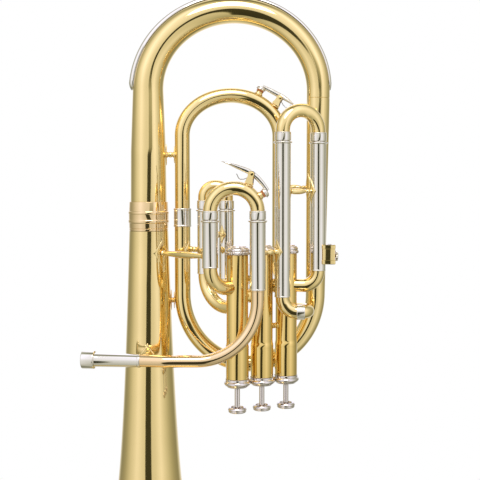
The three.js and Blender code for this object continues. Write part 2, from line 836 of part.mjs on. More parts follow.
// ---- water keys ----

// Each key lies in an upright plane: the points of its curved arm from the touch-piece on, the
// pivot, the nipple, and the way the nipple points.
const KEY_1 = {
  arm: [
    at(67.7, MAIN.y, 411.7),
    at(81.2, MAIN.y, 407.2),
    at(93.8, MAIN.y, 400.7),
    at(103.4, MAIN.y, 392.4),
  ],
  pivot: at(93.8, MAIN.y, 400.7),
  out: at(23.45, 0, 14.5).normalize(),
  centre: at(78.45, MAIN.y, MAIN.arc),
  reach: 20.45 + LEG.crook / 2,
};
KEY_1.nipple = KEY_1.centre.clone().addScaledVector(KEY_1.out, KEY_1.reach + 2);
KEY_1.base = KEY_1.centre.clone().addScaledVector(at(14.15, 0, 25.9).normalize(), KEY_1.reach);
KEY_1.spring = [
  at(91.2, MAIN.y + 5, 399),
  at(88, MAIN.y + 2, 396.7),
  at(83, MAIN.y, 396.6),
  at(80.8, MAIN.y, 400.4),
];

const KEY_2_PLANE = 6.6;
const KEY_2 = {
  arm: [
    at(135.4, KEY_2_PLANE, 462),
    at(128.5, KEY_2_PLANE, 466.6),
    at(120.4, KEY_2_PLANE, 470.9),
    at(111.5, KEY_2_PLANE, 476.6),
  ],
  pivot: at(120.4, KEY_2_PLANE, 470.5),
  out: at(0.431, 0, 0.902).normalize(),
  base: at(116, KEY_2_PLANE, 463.7),
};
KEY_2.nipple = at(101, KEY_2_PLANE, 474.5).addScaledVector(KEY_2.out, 2);
KEY_2.spring = [
  at(121.6, KEY_2_PLANE + 5, 467.6),
  at(123.4, KEY_2_PLANE + 2, 464.2),
  at(127.2, KEY_2_PLANE, 460.4),
];

// The lever: a bar from its touch-piece over the pivot barrel to the cup that holds the cork.
function keyLever(key) {
  const cupBack = key.nipple.clone().addScaledVector(key.out, 6);
  const side = at(0, 1);
  const arm = bar([...key.arm, cupBack], 2.6, 6);
  const towardsPivot = key.arm[1].clone().sub(key.arm[0]);
  const touch = cylinder(3.4, -0.8, 0.8, 10, key.arm[0], towardsPivot.cross(side));
  const barrel = cylinder(2.2, -2.2, 2.2, 10, key.pivot, side);
  const cupOutline = [
    [0, 2.5],
    [2.9, 2.5],
    [2.9, 0.9],
    [4.4, 0.9],
    [4.4, 2.6],
    [2.6, 4.5],
    [0, 4.5],
  ];
  const cup = turned(cupOutline, 12, key.nipple, key.out);
  const hole = cylinder(1.15, -4, 4, 8, key.pivot, side);
  return arm.add(touch).add(barrel).add(cup).subtract(hole);
}

// The saddle: a foot on the tube and two ears, joined by the pivot screw.
function keySaddle(key, tubeRadius, tubeCentre) {
  const side = at(0, 1);
  const post = key.pivot.clone().sub(key.base).normalize();
  const ear = (way) => {
    const from = key.base.clone().addScaledVector(side, way * 3.3).addScaledVector(post, -1.5);
    const to = key.pivot.clone().addScaledVector(side, way * 3.3);
    return bar([from, to], 1.6, 6);
  };
  const foot = cylinder(4.2, -2.5, 1.2, 10, key.base, post);
  const screw = cylinder(0.8, -4.2, 4.2, 6, key.pivot, side);
  const bored = foot.add(ear(1)).add(ear(-1)).add(screw);
  return bored.subtract(cylinder(tubeRadius, -9, 9, SLIDE_SIDES, tubeCentre.point, tubeCentre.along));
}

// The short pipe the cork closes, and the hole through it.
const nipple = ({ nipple: mouth, out }) => bar([mouth.clone().addScaledVector(out, -4), mouth], 6.4, 8);
const drain = ({ nipple: mouth, out }) =>
  bar([mouth.clone().addScaledVector(out, -8), mouth.clone().addScaledVector(out, 1)], 3, 6);

// The cork sits in the cup and closes the nipple.
const keyCork = (key) => cylinder(2.6, 0.3, 2.2, 12, key.nipple, key.out);

const keySpring = (key) => bar(key.spring, 0.9, 6);

function waterKeys() {
  const outwards = at(14.15, 0, 25.9).normalize();
  const onCrook = {
    point: KEY_1.centre.clone().addScaledVector(outwards, KEY_1.reach - LEG.crook / 2),
    along: at(25.9, 0, -14.15).normalize(),
  };
  const onBow = { point: at(110.9, 7.2, 458.8), along: at(0.687, 0, -0.727) };
  const keys = [
    ["water_key_1", KEY_1, LEG.crook / 2 + GAP, onCrook],
    ["water_key_2", KEY_2, INNER.outer / 2 + GAP, onBow],
  ];
  return keys.flatMap(([name, key, radius, centre]) => [
    piece(name + "_lever", keyLever(key), nickel),
    piece(name + "_saddle", keySaddle(key, radius, centre), lacquer),
    piece(name + "_cork", keyCork(key), cork),
    piece(name + "_spring", keySpring(key), steel),
  ]);
}

// ---- lyre box ----

function lyreBox() {
  const { low, high, slot, slotAt, screwLevel } = LYRE;
  const middleY = (low.y + high.y) / 2;
  const hole = box(
    at(slotAt - slot.x / 2, middleY - slot.y / 2, low.z - 1),
    at(slotAt + slot.x / 2, middleY + slot.y / 2, high.z + 1),
  );
  const thread = cylinder(1.9, 0, 8, 12, at(slotAt, middleY, screwLevel), at(1, 0));
  const clear = cylinder(SLEEVE.outer / 2 + GAP, low.z - 1, high.z + 1, SLIDE_SIDES, THIRD.right);
  return box(low, high).subtract(hole).subtract(thread).subtract(clear);
}

function lyreScrew() {
  const from = at(LYRE.high.x, (LYRE.low.y + LYRE.high.y) / 2, LYRE.screwLevel);
  const outline = [
    [0, -3.2],
    [1.5, -3.2],
    [1.5, 0.3],
    [4.2, 0.3],
    [4.8, 0.8],
    [4.8, 2.2],
    [4.2, SCREW_PROUD],
    [0, SCREW_PROUD],
  ];
  return turned(outline, 12, from, at(1, 0));
}

// ---- stays between tubes ----

// A diamond foot curved round an upright tube, on the side that faces a direction.
function diamondFoot(foot, level, radius, direction, tall, wide) {
  const outline = new THREE.Shape();
  outline.moveTo(0, tall / 2);
  outline.lineTo(wide / 2, 1.2);
  outline.lineTo(wide / 2, -1.2);
  outline.lineTo(0, -tall / 2);
  outline.lineTo(-wide / 2, -1.2);
  outline.lineTo(-wide / 2, 1.2);
  const geometry = new THREE.ExtrudeGeometry(outline, { depth: radius + 6, bevelEnabled: false });
  const side = UP.clone().cross(direction);
  geometry.applyMatrix4(new THREE.Matrix4().makeBasis(side, UP, direction));
  geometry.translate(foot.x, foot.y, level);
  const inside = radius + GAP + 0.1;
  const shell = collar(inside, inside + 1, level - tall, level + tall, STAY_SIDES, foot);
  return solid(geometry).intersect(shell);
}

// A stay between two upright tubes: a bar with a thick middle, and a diamond foot on each tube,
// centred on the bar unless it has a direction of its own to face.
function stay(level, thickness, ends) {
  const [start, finish] = ends;
  const span = finish.foot.clone().sub(start.foot);
  const length = span.length();
  const direction = span.clone().normalize();
  const low = start.radius;
  const high = length - finish.radius;
  const middle = (low + high) / 2;
  const outline = [
    [0, low],
    [thickness * 0.62, low],
    [thickness * 0.34, low + 3],
    [thickness * 0.5, middle],
    [thickness * 0.34, high - 3],
    [thickness * 0.62, high],
    [0, high],
  ];
  let shape = turned(outline, 8, start.foot.clone().setZ(level), direction);
  ends.forEach(({ foot, radius, tall, wide, facing }, i) => {
    shape = shape.subtract(cylinder(radius + GAP, level - 20, level + 20, STAY_SIDES, foot));
    const inwards = i === 0 ? direction : direction.clone().negate();
    shape = shape.add(diamondFoot(foot, level, radius, facing ?? inwards, tall, wide));
  });
  return shape;
}

function stays() {
  const sleeveRadius = SLEEVE.outer / 2;
  const bellAt = (level) => ({ foot: at(0, 0), radius: bellRadius(level) + 0.2, tall: 27, wide: 17.5 });
  const small = (foot, radius) => ({ foot, radius, tall: 12, wide: 8 });
  const bellBrace = stay(329.2, 5.6, [bellAt(320), small(at(MAIN.left, MAIN.y), sleeveRadius)]);
  const slideStay = stay(332.7, 5.2, [
    small(at(MAIN.right, MAIN.y), sleeveRadius),
    { foot: THIRD.left, radius: sleeveRadius, tall: 22, wide: 10 },
  ]);
  const legStay = stay(388.7, 5.2, [
    small(INNER.right, INNER.outer / 2),
    { foot: at(154.2, 0), radius: 10, tall: 27, wide: 15.5, facing: at(-0.87, -0.5) },
  ]);
  return [
    piece("bell_brace", bellBrace, lacquer),
    piece("slide_stay", slideStay, lacquer),
    piece("leg_stay", legStay, lacquer),
    piece("receiver_brace", receiverBrace(), lacquer),
  ];
}

// The brace from the bell to the leadpipe, whose run is level.
function receiverBrace() {
  const level = LEADPIPE.level;
  const radius = bellRadius(level - 8) + 0.2;
  const pipeAt = at(0, MAIN.y + 2.7, level);
  const post = cylinder(2.4, radius, 51, 14, at(0, 0, level), at(0, -1));
  const foot = diamondFoot(at(0, 0), level, radius, at(0, -1), 20, 14);
  const cradle = cylinder(5, 46, 53, 14, at(0, 0, level), at(0, -1));
  const pipe = cylinder(LEADPIPE.outer / 2 + GAP, -20, 20, SLIDE_SIDES, pipeAt, slant);
  const bellRoom = cylinder(radius + GAP, level - 20, level + 20, 32);
  return post.add(cradle).subtract(bellRoom).add(foot).subtract(pipe);
}

// ---- the whole horn ----

const horn = new THREE.Group();
horn.add(
  piece("bell", bell(), lacquer),
  piece("bell_ferrule", bellFerrule(), goldBrass),
  piece("bottom_bow", bottomBow(), lacquer),
  piece("bow_guard", bowGuard(), nickel),
  piece("first_branch", firstBranch(), lacquer),
  piece("inner_bow", innerBow(), lacquer),
  piece("inner_bow_ferrule", innerBowFerrule(), nickel),
  piece("leadpipe", leadpipe(), goldBrass),
  piece("mouthpiece_receiver", mouthpieceReceiver(), nickel),
  ...[0, 1, 2].map(valve),
  ...mainSlide(),
  ...firstSlide(),
  ...secondSlide(),
  ...thirdSlide(),
  ...waterKeys(),
  piece("lyre_box", lyreBox(), lacquer),
  piece("lyre_screw", lyreScrew(), nickel),
  ...stays(),
);

// The rim's polygon reaches a little less far left than its radius.
const leftmost = -RIM_RADIUS * Math.cos(Math.PI / BELL_SIDES);
const rightmost = LYRE.high.x + SCREW_PROUD;
horn.position.x = -(leftmost + rightmost) / 2;

export default horn;
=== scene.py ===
from collections import namedtuple
from math import cos, pi, radians, sin, sqrt, tan

import bpy
import numpy as np
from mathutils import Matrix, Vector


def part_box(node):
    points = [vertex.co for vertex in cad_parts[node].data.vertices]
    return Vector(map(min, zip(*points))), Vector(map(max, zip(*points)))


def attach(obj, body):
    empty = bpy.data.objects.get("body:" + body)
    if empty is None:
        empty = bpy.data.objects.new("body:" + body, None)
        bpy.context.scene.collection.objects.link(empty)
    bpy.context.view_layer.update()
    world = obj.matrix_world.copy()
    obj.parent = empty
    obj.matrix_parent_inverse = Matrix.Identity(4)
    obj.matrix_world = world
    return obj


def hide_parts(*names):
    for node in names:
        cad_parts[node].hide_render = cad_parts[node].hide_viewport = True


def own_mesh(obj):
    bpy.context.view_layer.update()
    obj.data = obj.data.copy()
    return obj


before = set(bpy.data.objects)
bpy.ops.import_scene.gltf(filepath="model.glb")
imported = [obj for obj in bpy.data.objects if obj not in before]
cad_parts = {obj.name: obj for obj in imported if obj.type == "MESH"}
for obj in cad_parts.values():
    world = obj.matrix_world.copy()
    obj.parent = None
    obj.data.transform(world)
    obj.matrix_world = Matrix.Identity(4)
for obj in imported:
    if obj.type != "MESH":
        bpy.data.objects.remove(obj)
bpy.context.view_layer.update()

MM = 0.001
UP = np.array([0.0, 0.0, 1.0])
ACROSS = np.array([0.0, 1.0, 0.0])


def vec(x, y, z=0.0):
    return np.array([x, y, z], float)


def unit(v):
    return v / np.linalg.norm(v)


bell_low, bell_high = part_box("bell")
BELL_AXIS = vec((bell_low.x + bell_high.x) / 2 / MM, 0)


def limits(node):
    """A CAD node's lowest and highest corners, in millimetres from the bell's axis."""
    low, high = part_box(node)
    return np.array(low) / MM - BELL_AXIS, np.array(high) / MM - BELL_AXIS


def foot_of(node):
    """Where an upright round node's axis meets the plane of the rim."""
    low, high = limits(node)
    return vec(*(low + high)[:2] / 2)


# ---- driving dimensions ----

WALL = 0.7
LIP = 0.2  # how far a tube's end is rounded over
BEND_STEP = radians(4)
BELL_TOP = limits("bell")[1][2]
RIM_RADIUS = 103.0

BOW_LEFT, BOW_RIGHT, BOW_SPRING, BOW_RISE = 0.0, 155.0, 477.0, 72.4
BOW_LOW, BOW_END = limits("bottom_bow")[0][2], 470.0
BOW_OUTER = ((0, 33.4), (0.16, 32.4), (0.315, 28.2), (0.647, 24.4), (0.98, 21.2), (1, 21.2))
BRANCH_LEFT, BRANCH_RIGHT, BRANCH_SPRING, BRANCH_DROP = 30.9, 153.1, 290.7, 64.4
BRANCH_OUTER = ((0, 14.7), (0.16, 14.7), (0.36, 16), (0.54, 17.3), (0.98, 21.2), (1, 21.2))
INNER_RIGHT = vec(120.4, 8)
INNER_SPRING, INNER_RISE, INNER_PORT, INNER_OUTER = 436.0, 37.0, 306.0, 14.0
INNER_LOW = limits("inner_bow_ferrule")[0][2] + 8.6

PIPE, SLEEVE, LEG, COLLAR_TALL = 12.3, 13.9, 12.4, 7.7

VALVES = [foot_of(f"valve_{i}_top_cap") for i in (1, 2, 3)]
CASING_RADIUS = 9.65
SEAT_RADIUS = 9.3  # inside the casing's wall, where the tubes end

MAIN_LEFT, MAIN_RIGHT = foot_of("main_slide_leg_left"), foot_of("main_slide_leg_right")
MAIN_RING = limits("main_slide_sleeve_left")[1][2]
FIRST_LEFT, FIRST_RIGHT, FIRST_RING = vec(51.8, -10), vec(71.3, -10), 368.8
THIRD_LEFT, THIRD_RIGHT, THIRD_RING = vec(121.3, -39), vec(153.5, -24), 429.4
SECOND_AIM = unit(vec(-0.2, 0.98))
SECOND_LEVELS = (294.5, 312.0)

LEADPIPE_LEVEL, LEADPIPE_OUTER, LEADPIPE_BEND = 238.2, 10.8, 52.7
SLANT_FROM, SLANT_END = vec(20, MAIN_LEFT[1]), vec(-54.7, -48)
SLANT = unit(SLANT_END - SLANT_FROM)
RECEIVER_LENGTH = 52.2
LYRE_LOW, LYRE_HIGH = vec(157, -31, 320.4), vec(168.8, -17, 338)

BRASS_SIDES, SMALL_SIDES = 64, 40
SMOOTH_BELOW = radians(38)  # edges sharper than this stay sharp


# ---- mesh building ----


class Shape:
    """Vertices in millimetres and faces, gathered from closed shells."""

    def __init__(self):
        self.points, self.faces = [], []

    def add(self, points, faces):
        start = len(self.points)
        self.points.extend(points)
        self.faces.extend(tuple(start + i for i in face) for face in faces)
        return self

    def join(self, other):
        return self.add(other.points, other.faces)


def new_object(name, data):
    made = bpy.data.objects.new(name, data)
    bpy.context.scene.collection.objects.link(made)
    return made


def build(name, shape, finish, body="root", node=None):
    """A mesh object in the frame, riding on a body. It stands for the CAD node of its own name,
    or for the one it shares with another piece."""
    material, slot = finish
    mesh = bpy.data.meshes.new(name)
    points = (np.array(shape.points) + BELL_AXIS) * MM
    mesh.from_pydata(points.tolist(), [], shape.faces)
    mesh.validate()
    mesh.polygons.foreach_set("use_smooth", [True] * len(mesh.polygons))
    mesh.set_sharp_from_angle(angle=SMOOTH_BELOW)
    mesh.materials.append(material)
    mesh.update()
    piece = new_object(name, mesh)
    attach(piece, body)
    node = node or name
    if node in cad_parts:
        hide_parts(node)
    return piece


def skin(rings, loops_back):
    """A shell over rings of equal counts: closed on itself, or with a flat face at each end."""
    count, total = len(rings[0]), len(rings)
    faces = []
    for i in range(total if loops_back else total - 1):
        here, there = i * count, (i + 1) % total * count
        for k in range(count):
            beside = (k + 1) % count
            faces.append((here + k, here + beside, there + beside, there + k))
    if not loops_back:
        faces.append(tuple(range(count - 1, -1, -1)))
        faces.append(tuple(range((total - 1) * count, total * count)))
    return Shape().add([p for ring in rings for p in ring], faces)


def rounded_corners(outline, loops_back, bevel=0.25, steps=4):
    """An outline of (radius, height) or (radius, height, bevel) with each corner rounded."""
    corners = [np.array(p[:2], float) for p in outline]
    sizes = [p[2] if len(p) > 2 else bevel for p in outline]
    rounded = []
    count = len(corners)
    for i, corner in enumerate(corners):
        end = not loops_back and i in (0, count - 1)
        if end or sizes[i] == 0:
            rounded.append(corner)
            continue
        before, after = corners[i - 1] - corner, corners[(i + 1) % count] - corner
        reach = min(sizes[i], 0.48 * np.linalg.norm(before), 0.48 * np.linalg.norm(after))
        start, finish = corner + unit(before) * reach, corner + unit(after) * reach
        for k in range(steps + 1):
            t = k / steps
            rounded.append((1 - t) ** 2 * start + 2 * t * (1 - t) * corner + t**2 * finish)
    return rounded


def mirrored(half, middle=0.0):
    """An outline that is the same both ways from its middle. half runs from the outline's end to
    its middle, as (radius, distance from the middle) or (radius, distance, bevel)."""
    back = [(p[0], middle - p[1], *p[2:]) for p in half]
    return back + [(p[0], middle + p[1], *p[2:]) for p in half[::-1]]


def basis(direction):
    """Two directions square to this one."""
    direction = unit(direction)
    side = ACROSS if abs(direction[1]) < 0.9 else vec(1, 0)
    side = unit(side - direction * side.dot(direction))
    return side, np.cross(direction, side)


def turned(outline, origin=vec(0, 0), direction=UP, sides=SMALL_SIDES, bevel=0.25, ripple=None):
    """A piece turned about its axis. An outline whose ends are both on the axis is a solid;
    any other loops back on itself. ripple is (low, high, count, depth) of knurling."""
    solid = outline[0][0] == 0 and outline[-1][0] == 0
    profile = rounded_corners(outline, not solid, bevel)
    side, up = basis(direction)
    direction = unit(direction)
    shape = Shape()
    rows = []
    for radius, height in profile:
        middle = origin + direction * height
        if radius == 0:
            rows.append([len(shape.points)] * sides)
            shape.points.append(middle)
            continue
        rows.append(list(range(len(shape.points), len(shape.points) + sides)))
        for k in range(sides):
            angle = 2 * pi * k / sides
            reach = radius
            if ripple and ripple[0] <= height <= ripple[1]:
                reach += ripple[3] * (cos(ripple[2] * angle) - 1) / 2
            shape.points.append(middle + side * reach * cos(angle) + up * reach * sin(angle))
    links = len(rows) - 1 if solid else len(rows)
    for i in range(links):
        here, there = rows[i], rows[(i + 1) % len(rows)]
        for k in range(sides):
            beside = (k + 1) % sides
            face = (here[k], here[beside], there[beside], there[k])
            shape.faces.append(tuple(dict.fromkeys(face)))
    return shape


def bent(corners, bends):
    """A centreline through corners, each rounded by its radius."""
    points = [corners[0]]
    for i in range(1, len(corners) - 1):
        into, out = unit(corners[i] - corners[i - 1]), unit(corners[i + 1] - corners[i])
        turn = np.arccos(np.clip(into.dot(out), -1, 1))
        if turn < 0.01:
            points.append(corners[i])
            continue
        side = unit(out - into * out.dot(into))
        radius = bends[i - 1]
        start = corners[i] - into * radius * tan(turn / 2)
        steps = max(3, int(turn / BEND_STEP))
        for k in range(steps + 1):
            angle = turn * k / steps
            points.append(start + into * radius * sin(angle) + side * radius * (1 - cos(angle)))
    points.append(corners[-1])
    return spaced(points)


def spaced(points, longest=4.0, shortest=0.05):
    """The same line with its long runs divided and its doubled points left out."""
    line = [points[0]]
    for point in points[1:]:
        gap = np.linalg.norm(point - line[-1])
        if gap < shortest:
            continue
        start, parts = line[-1], int(gap / longest) + 1
        line.extend(start + (point - start) * k / parts for k in range(1, parts + 1))
    return line


def half_ellipse(left, right, rise, steps=90):
    middle, arm = (left + right) / 2, (right - left) / 2
    angles = [pi * (1 - k / steps) for k in range(steps + 1)]
    return [middle + arm * cos(a) + UP * rise * sin(a) for a in angles]


def framed(path):
    """Each point of a path with its direction, share of the length and two square directions."""
    path = np.array(path)
    steps = np.diff(path, axis=0)
    lengths = np.concatenate([[0], np.cumsum(np.linalg.norm(steps, axis=1))])
    rows = []
    side = basis(steps[0])[0]
    for i, point in enumerate(path):
        along = unit(unit(steps[max(i - 1, 0)]) + unit(steps[min(i, len(steps) - 1)]))
        side = unit(side - along * side.dot(along))
        rows.append((point, along, lengths[i] / lengths[-1], side, np.cross(along, side)))
    return rows


def oval(row, wide, tall, sides):
    point, _, _, side, up = row
    angles = [2 * pi * k / sides for k in range(sides)]
    return [point + side * wide * cos(a) + up * tall * sin(a) for a in angles]


def with_lips(path):
    """The path with an extra point close to each end, where its tube's edge is rounded."""
    first, last = unit(path[1] - path[0]), unit(path[-1] - path[-2])
    return [path[0], path[0] + first * LIP, *path[1:-1], path[-1] - last * LIP, path[-1]]


def at_share(share, stops):
    """The value at a share of a length, between stops of (share, value)."""
    return np.interp(share, *zip(*stops))


def tube(path, outer, sides=BRASS_SIDES, seat=None):
    """A tube along a path. outer is a diameter or stops of (share, diameter). seat is the foot of
    the upright cylinder that the tube's far end is cut to."""
    rows = framed(with_lips(path))
    stops = outer if isinstance(outer, tuple) else ((0, outer),)
    outside, inside = [], []
    for i, row in enumerate(rows):
        radius = at_share(row[2], stops) / 2
        rounded = radius - LIP * 0.8 if i in (0, len(rows) - 1) else radius
        outside.append(oval(row, rounded, rounded, sides))
        inside.append(oval(row, radius - WALL, radius - WALL, sides))
    if seat is not None:
        for rings in (outside, inside):
            rings[-1] = seated(rings[-1], rows[-1][1], seat)
            rings[-2] = seated(rings[-2], rows[-1][1], seat, SEAT_RADIUS + LIP)
    return skin(outside + inside[::-1], True)


def seated(ring, along, seat, radius=SEAT_RADIUS):
    """A ring slid along the tube until each point is on the upright cylinder."""
    moved = []
    for point in ring:
        offset, run = (point - seat)[:2], along[:2]
        a, b, c = run.dot(run), 2 * offset.dot(run), offset.dot(offset) - radius**2
        reach = (-b - sqrt(max(b * b - 4 * a * c, 0))) / (2 * a)
        moved.append(point + along * reach)
    return moved


def rod(path, radius, sides):
    """A solid bar along a path."""
    return skin([oval(row, radius, radius, sides) for row in framed(path)], False)


def coil(middle, side, up, radius, low, high, turns, per_turn):
    """A helix round the axis that is square to side and up, between two places on it."""
    axis, count = np.cross(side, up), turns * per_turn
    path = []
    for k in range(count + 1):
        angle = 2 * pi * k / per_turn
        around = side * radius * cos(angle) + up * radius * sin(angle)
        path.append(middle + around + axis * (low + (high - low) * k / count))
    return path


def plate(outline, origin, side, up, low, high, bevel):
    """A flat plate from an outline in the plane of side and up, between two depths."""
    out = np.cross(side, up)
    flat = rounded_corners(outline, True, 0.8, 6)
    centre = sum(flat) / len(flat)

    def ring(depth, inset):
        shrunk = [p - unit(p - centre) * inset for p in flat]
        return [origin + side * p[0] + up * p[1] + out * depth for p in shrunk]

    rings = [ring(low, bevel), ring(low + bevel, 0), ring(high - bevel, 0), ring(high, bevel)]
    return skin(rings, False)


def diamond(foot, level, radius, direction, tall, wide, thick=1.0, slope=0.0):
    """A diamond flange curved round an upright tube, its edges hollow, its tips blunt and its face
    rounded off. slope is the tube's taper per millimetre."""
    rows, columns = 28, 16
    heading = np.arctan2(direction[1], direction[0])
    hollow, blunt, clear = 1.15, 0.06, 0.03

    def sheet(raised):
        grid = []
        for i in range(rows + 1):
            v = -1 + 2 * i / rows
            half = wide / 2 * max(blunt, (1 - abs(v)) ** hollow) * (1 if abs(v) < 1 else 0.3)
            for k in range(columns + 1):
                u = -1 + 2 * k / columns
                swell = sqrt((1 - u**4) * (1 - v**6))
                reach = radius + slope * v * tall / 2 + clear + raised * thick * swell
                angle = heading + u * half / radius
                grid.append(foot + vec(reach * cos(angle), reach * sin(angle), level + v * tall / 2))
        return grid

    size = (rows + 1) * (columns + 1)
    faces = []
    for i in range(rows):
        for k in range(columns):
            a = i * (columns + 1) + k
            b, c, d = a + 1, a + columns + 2, a + columns + 1
            faces += [(a, b, c, d), (size + d, size + c, size + b, size + a)]
    rim = list(range(columns))
    rim += [i * (columns + 1) + columns for i in range(rows)]
    rim += [rows * (columns + 1) + k for k in range(columns, 0, -1)]
    rim += [i * (columns + 1) for i in range(rows, 0, -1)]
    for n, a in enumerate(rim):
        b = rim[(n + 1) % len(rim)]
        faces.append((b, a, size + a, size + b))
    return Shape().add(sheet(1) + sheet(0), faces)


def spindle(start, finish, thick, bead=False):
    """A turned stay between two points: thick in its middle and necked behind each end, or with
    a small bead behind its far end."""
    length = np.linalg.norm(finish - start)
    half = thick / 2
    if bead:
        shares = [
            (0.8, 0.06, 0.5), (1, 0.2, 2), (1, 0.48, 2), (0.62, 0.68, 0.8), (0.45, 0.71, 0.4),
            (0.45, 0.75, 0.3), (0.72, 0.8, 0.6), (0.72, 0.86, 0.6), (0.5, 0.91, 0.4), (0.9, 1, 0.1),
        ]
        outline = [(half * wide, length * share, round) for wide, share, round in shares]
    else:
        soft = 0.3 * length
        outline = [
            (half, 1.6, 0.8), (half * 0.55, 3.2, 1.2), (half * 0.62, 4.4, 0.6),
            (half, 0.42 * length, soft), (half, 0.6 * length, soft),
            (half * 0.62, length - 4.4, 0.6), (half * 0.55, length - 3.2, 1.2),
            (half, length - 1.6, 0.8), (half * 1.15, length, 0.1),
        ]
    # on a short stay the two ends' points cross, and those that turn back are left out
    rising = [p for before, p in zip([(0, 0), *outline], outline) if p[1] > before[1]]
    return turned([(0, 0), *rising, (0, length)], start, finish - start, 32, 0.3)


# ---- materials ----


class Nodes:
    """The node tree of a material or a world."""

    def __init__(self, owner):
        owner.use_nodes = True
        self.tree = owner.node_tree

    def feed(self, node, values):
        """Sets a node's inputs, each to a number, a tuple or another node's output."""
        for key, value in values.items():
            target = node.inputs[key]
            if isinstance(value, bpy.types.NodeSocket):
                self.tree.links.new(value, target)
            else:
                target.default_value = (*value, 1) if target.type == "RGBA" else value

    def add(self, kind, values, **settings):
        node = self.tree.nodes.new("ShaderNode" + kind)
        for key, value in settings.items():
            setattr(node, key, value)
        self.feed(node, values)
        return node

    def math(self, operation, *values):
        return self.add("Math", dict(enumerate(values)), operation=operation).outputs[0]

    def seen(self):
        """One where the camera looks straight at something, and nothing in reflections."""
        return self.add("LightPath", {}).outputs["Is Camera Ray"]


class Material(Nodes):
    """A material's node tree round its principled shader. Scales are per metre."""

    def __init__(self, name):
        self.material = bpy.data.materials.new(name)
        super().__init__(self.material)
        self.shader = self.tree.nodes["Principled BSDF"]
        self.coords = self.add("TexCoord", {}).outputs["Object"]

    def noise(self, scale, detail, roughness=0.5, stretch=None):
        source = self.coords
        if stretch:
            source = self.add("Mapping", {"Vector": source, "Scale": stretch}).outputs["Vector"]
        values = {"Vector": source, "Scale": scale, "Detail": detail, "Roughness": roughness}
        return self.add("TexNoise", values).outputs["Fac"]

    def remap(self, value, low, high, to_low, to_high):
        values = {"Value": value, "From Min": low, "From Max": high, "To Min": to_low, "To Max": to_high}
        return self.add("MapRange", values).outputs["Result"]

    def blend(self, factor, first, second):
        """Two colours mixed by a factor."""
        return self.add("Mix", {0: factor, 6: first, 7: second}, data_type="RGBA").outputs[2]

    def bump(self, height, distance, before=None):
        values = {"Height": height, "Distance": distance}
        if before:
            values["Normal"] = before
        return self.add("Bump", values).outputs["Normal"]

    def surface(self, values):
        self.feed(self.shader, values)
        return self.material


def polished_metal(name, base, deep, roughness=0.06, lacquer=0.0, tarnish_and_shade_depth=0.7, slot=None):
    """A buffed metal: soft waves in its surface, patches of tone, fine buffing marks, and a
    deeper colour in the corners that is partly tarnish and partly painted shade."""
    n = Material(name)
    patches = n.remap(n.noise(22, 2), 0.35, 0.65, 0, 1)
    tone = n.blend(patches, base, tuple(c * 0.95 for c in base))
    # corners found by ambient occlusion are darkened toward the deep colour: partly tarnish in the
    # crevices, partly painted shade
    corner = n.add("AmbientOcclusion", {"Distance": 0.0035}, samples=6).outputs["AO"]
    tarnish_and_shade = n.remap(corner, 0.25, 0.8, tarnish_and_shade_depth, 0)
    grain = n.noise(1400, 2, stretch=(1, 1, 0.12))
    smears = n.blend(0.5, n.noise(160, 3), grain)
    broad = n.bump(n.noise(38, 1), WAVE)
    finish = {
        "Base Color": n.blend(tarnish_and_shade, tone, deep),
        "Metallic": 1,
        "Roughness": n.remap(smears, 0.3, 0.7, roughness * 0.8, roughness * 1.3),
        "Normal": n.bump(grain, WAVE / 100, broad),
        "Coat Weight": lacquer,
        "Coat Roughness": 0.04,
    }
    return n.surface(finish), slot or name


def cork_material():
    n = Material("cork")
    cells = n.add("TexVoronoi", {"Vector": n.coords, "Scale": 1500}).outputs["Distance"]
    flecks = n.remap(n.noise(2600, 3), 0.4, 0.62, 0, 1)
    tone = n.blend(flecks, (0.62, 0.22, 0.07), (0.36, 0.11, 0.035))
    finish = {"Base Color": tone, "Roughness": 0.85, "Normal": n.bump(cells, 0.0002)}
    return n.surface(finish), "cork"


def felt_material():
    n = Material("felt")
    fuzz = n.noise(3200, 4, 0.7)
    tone = n.blend(fuzz, (0.018, 0.018, 0.02), (0.06, 0.058, 0.055))
    normal = n.bump(fuzz, 0.0003)
    return n.surface({"Base Color": tone, "Roughness": 0.95, "Sheen Weight": 0.4, "Normal": normal}), None


WAVE = 0.00006  # depth of the soft waves in polished metal, in metres
# the deep colours that corners are darkened to: partly tarnish, partly painted shade
BRASS_CORNER_TARNISH_AND_SHADE, DARK_GOLD, DARK_NICKEL = (0.6, 0.3, 0.06), (0.62, 0.3, 0.1), (0.38, 0.3, 0.2)

# each finish is a material and the name of the slot it belongs to
BRASS = polished_metal("lacquered_brass", (0.9, 0.7, 0.31), BRASS_CORNER_TARNISH_AND_SHADE, lacquer=0.6)
GOLD = polished_metal("gold_brass", (0.92, 0.68, 0.39), DARK_GOLD, lacquer=0.4)
PALE_GOLD = polished_metal("pale_gold_brass", (0.9, 0.67, 0.36), DARK_GOLD, lacquer=0.4, slot="gold_brass")
NICKEL = polished_metal("nickel_silver", (0.82, 0.78, 0.69), DARK_NICKEL, tarnish_and_shade_depth=0.6)
CASING_BRASS = polished_metal(
    "casing_brass", (0.86, 0.62, 0.21), (0.5, 0.24, 0.04), lacquer=0.5, slot="lacquered_brass"
)
# the caps get the darkest corner colour at nearly full depth, which is heavy tarnish and painted shade in
# their knurling and corners
CAP_NICKEL = polished_metal(
    "cap_nickel", (0.72, 0.66, 0.61), (0.22, 0.16, 0.11), 0.1, tarnish_and_shade_depth=0.95, slot="nickel_silver"
)
STEEL = polished_metal("spring_steel", (0.42, 0.42, 0.43), (0.16, 0.14, 0.12), 0.25)
MONEL = polished_metal("monel", (0.6, 0.58, 0.54), (0.3, 0.26, 0.2), 0.2)
CORK = cork_material()
FELT = felt_material()


# ---- bell, bows and branches ----


def bell_radius(z):
    return (58.4 * (125 / (z + 3.8)) ** 0.4 - 2.3 * (z / 340) ** 3) / 2


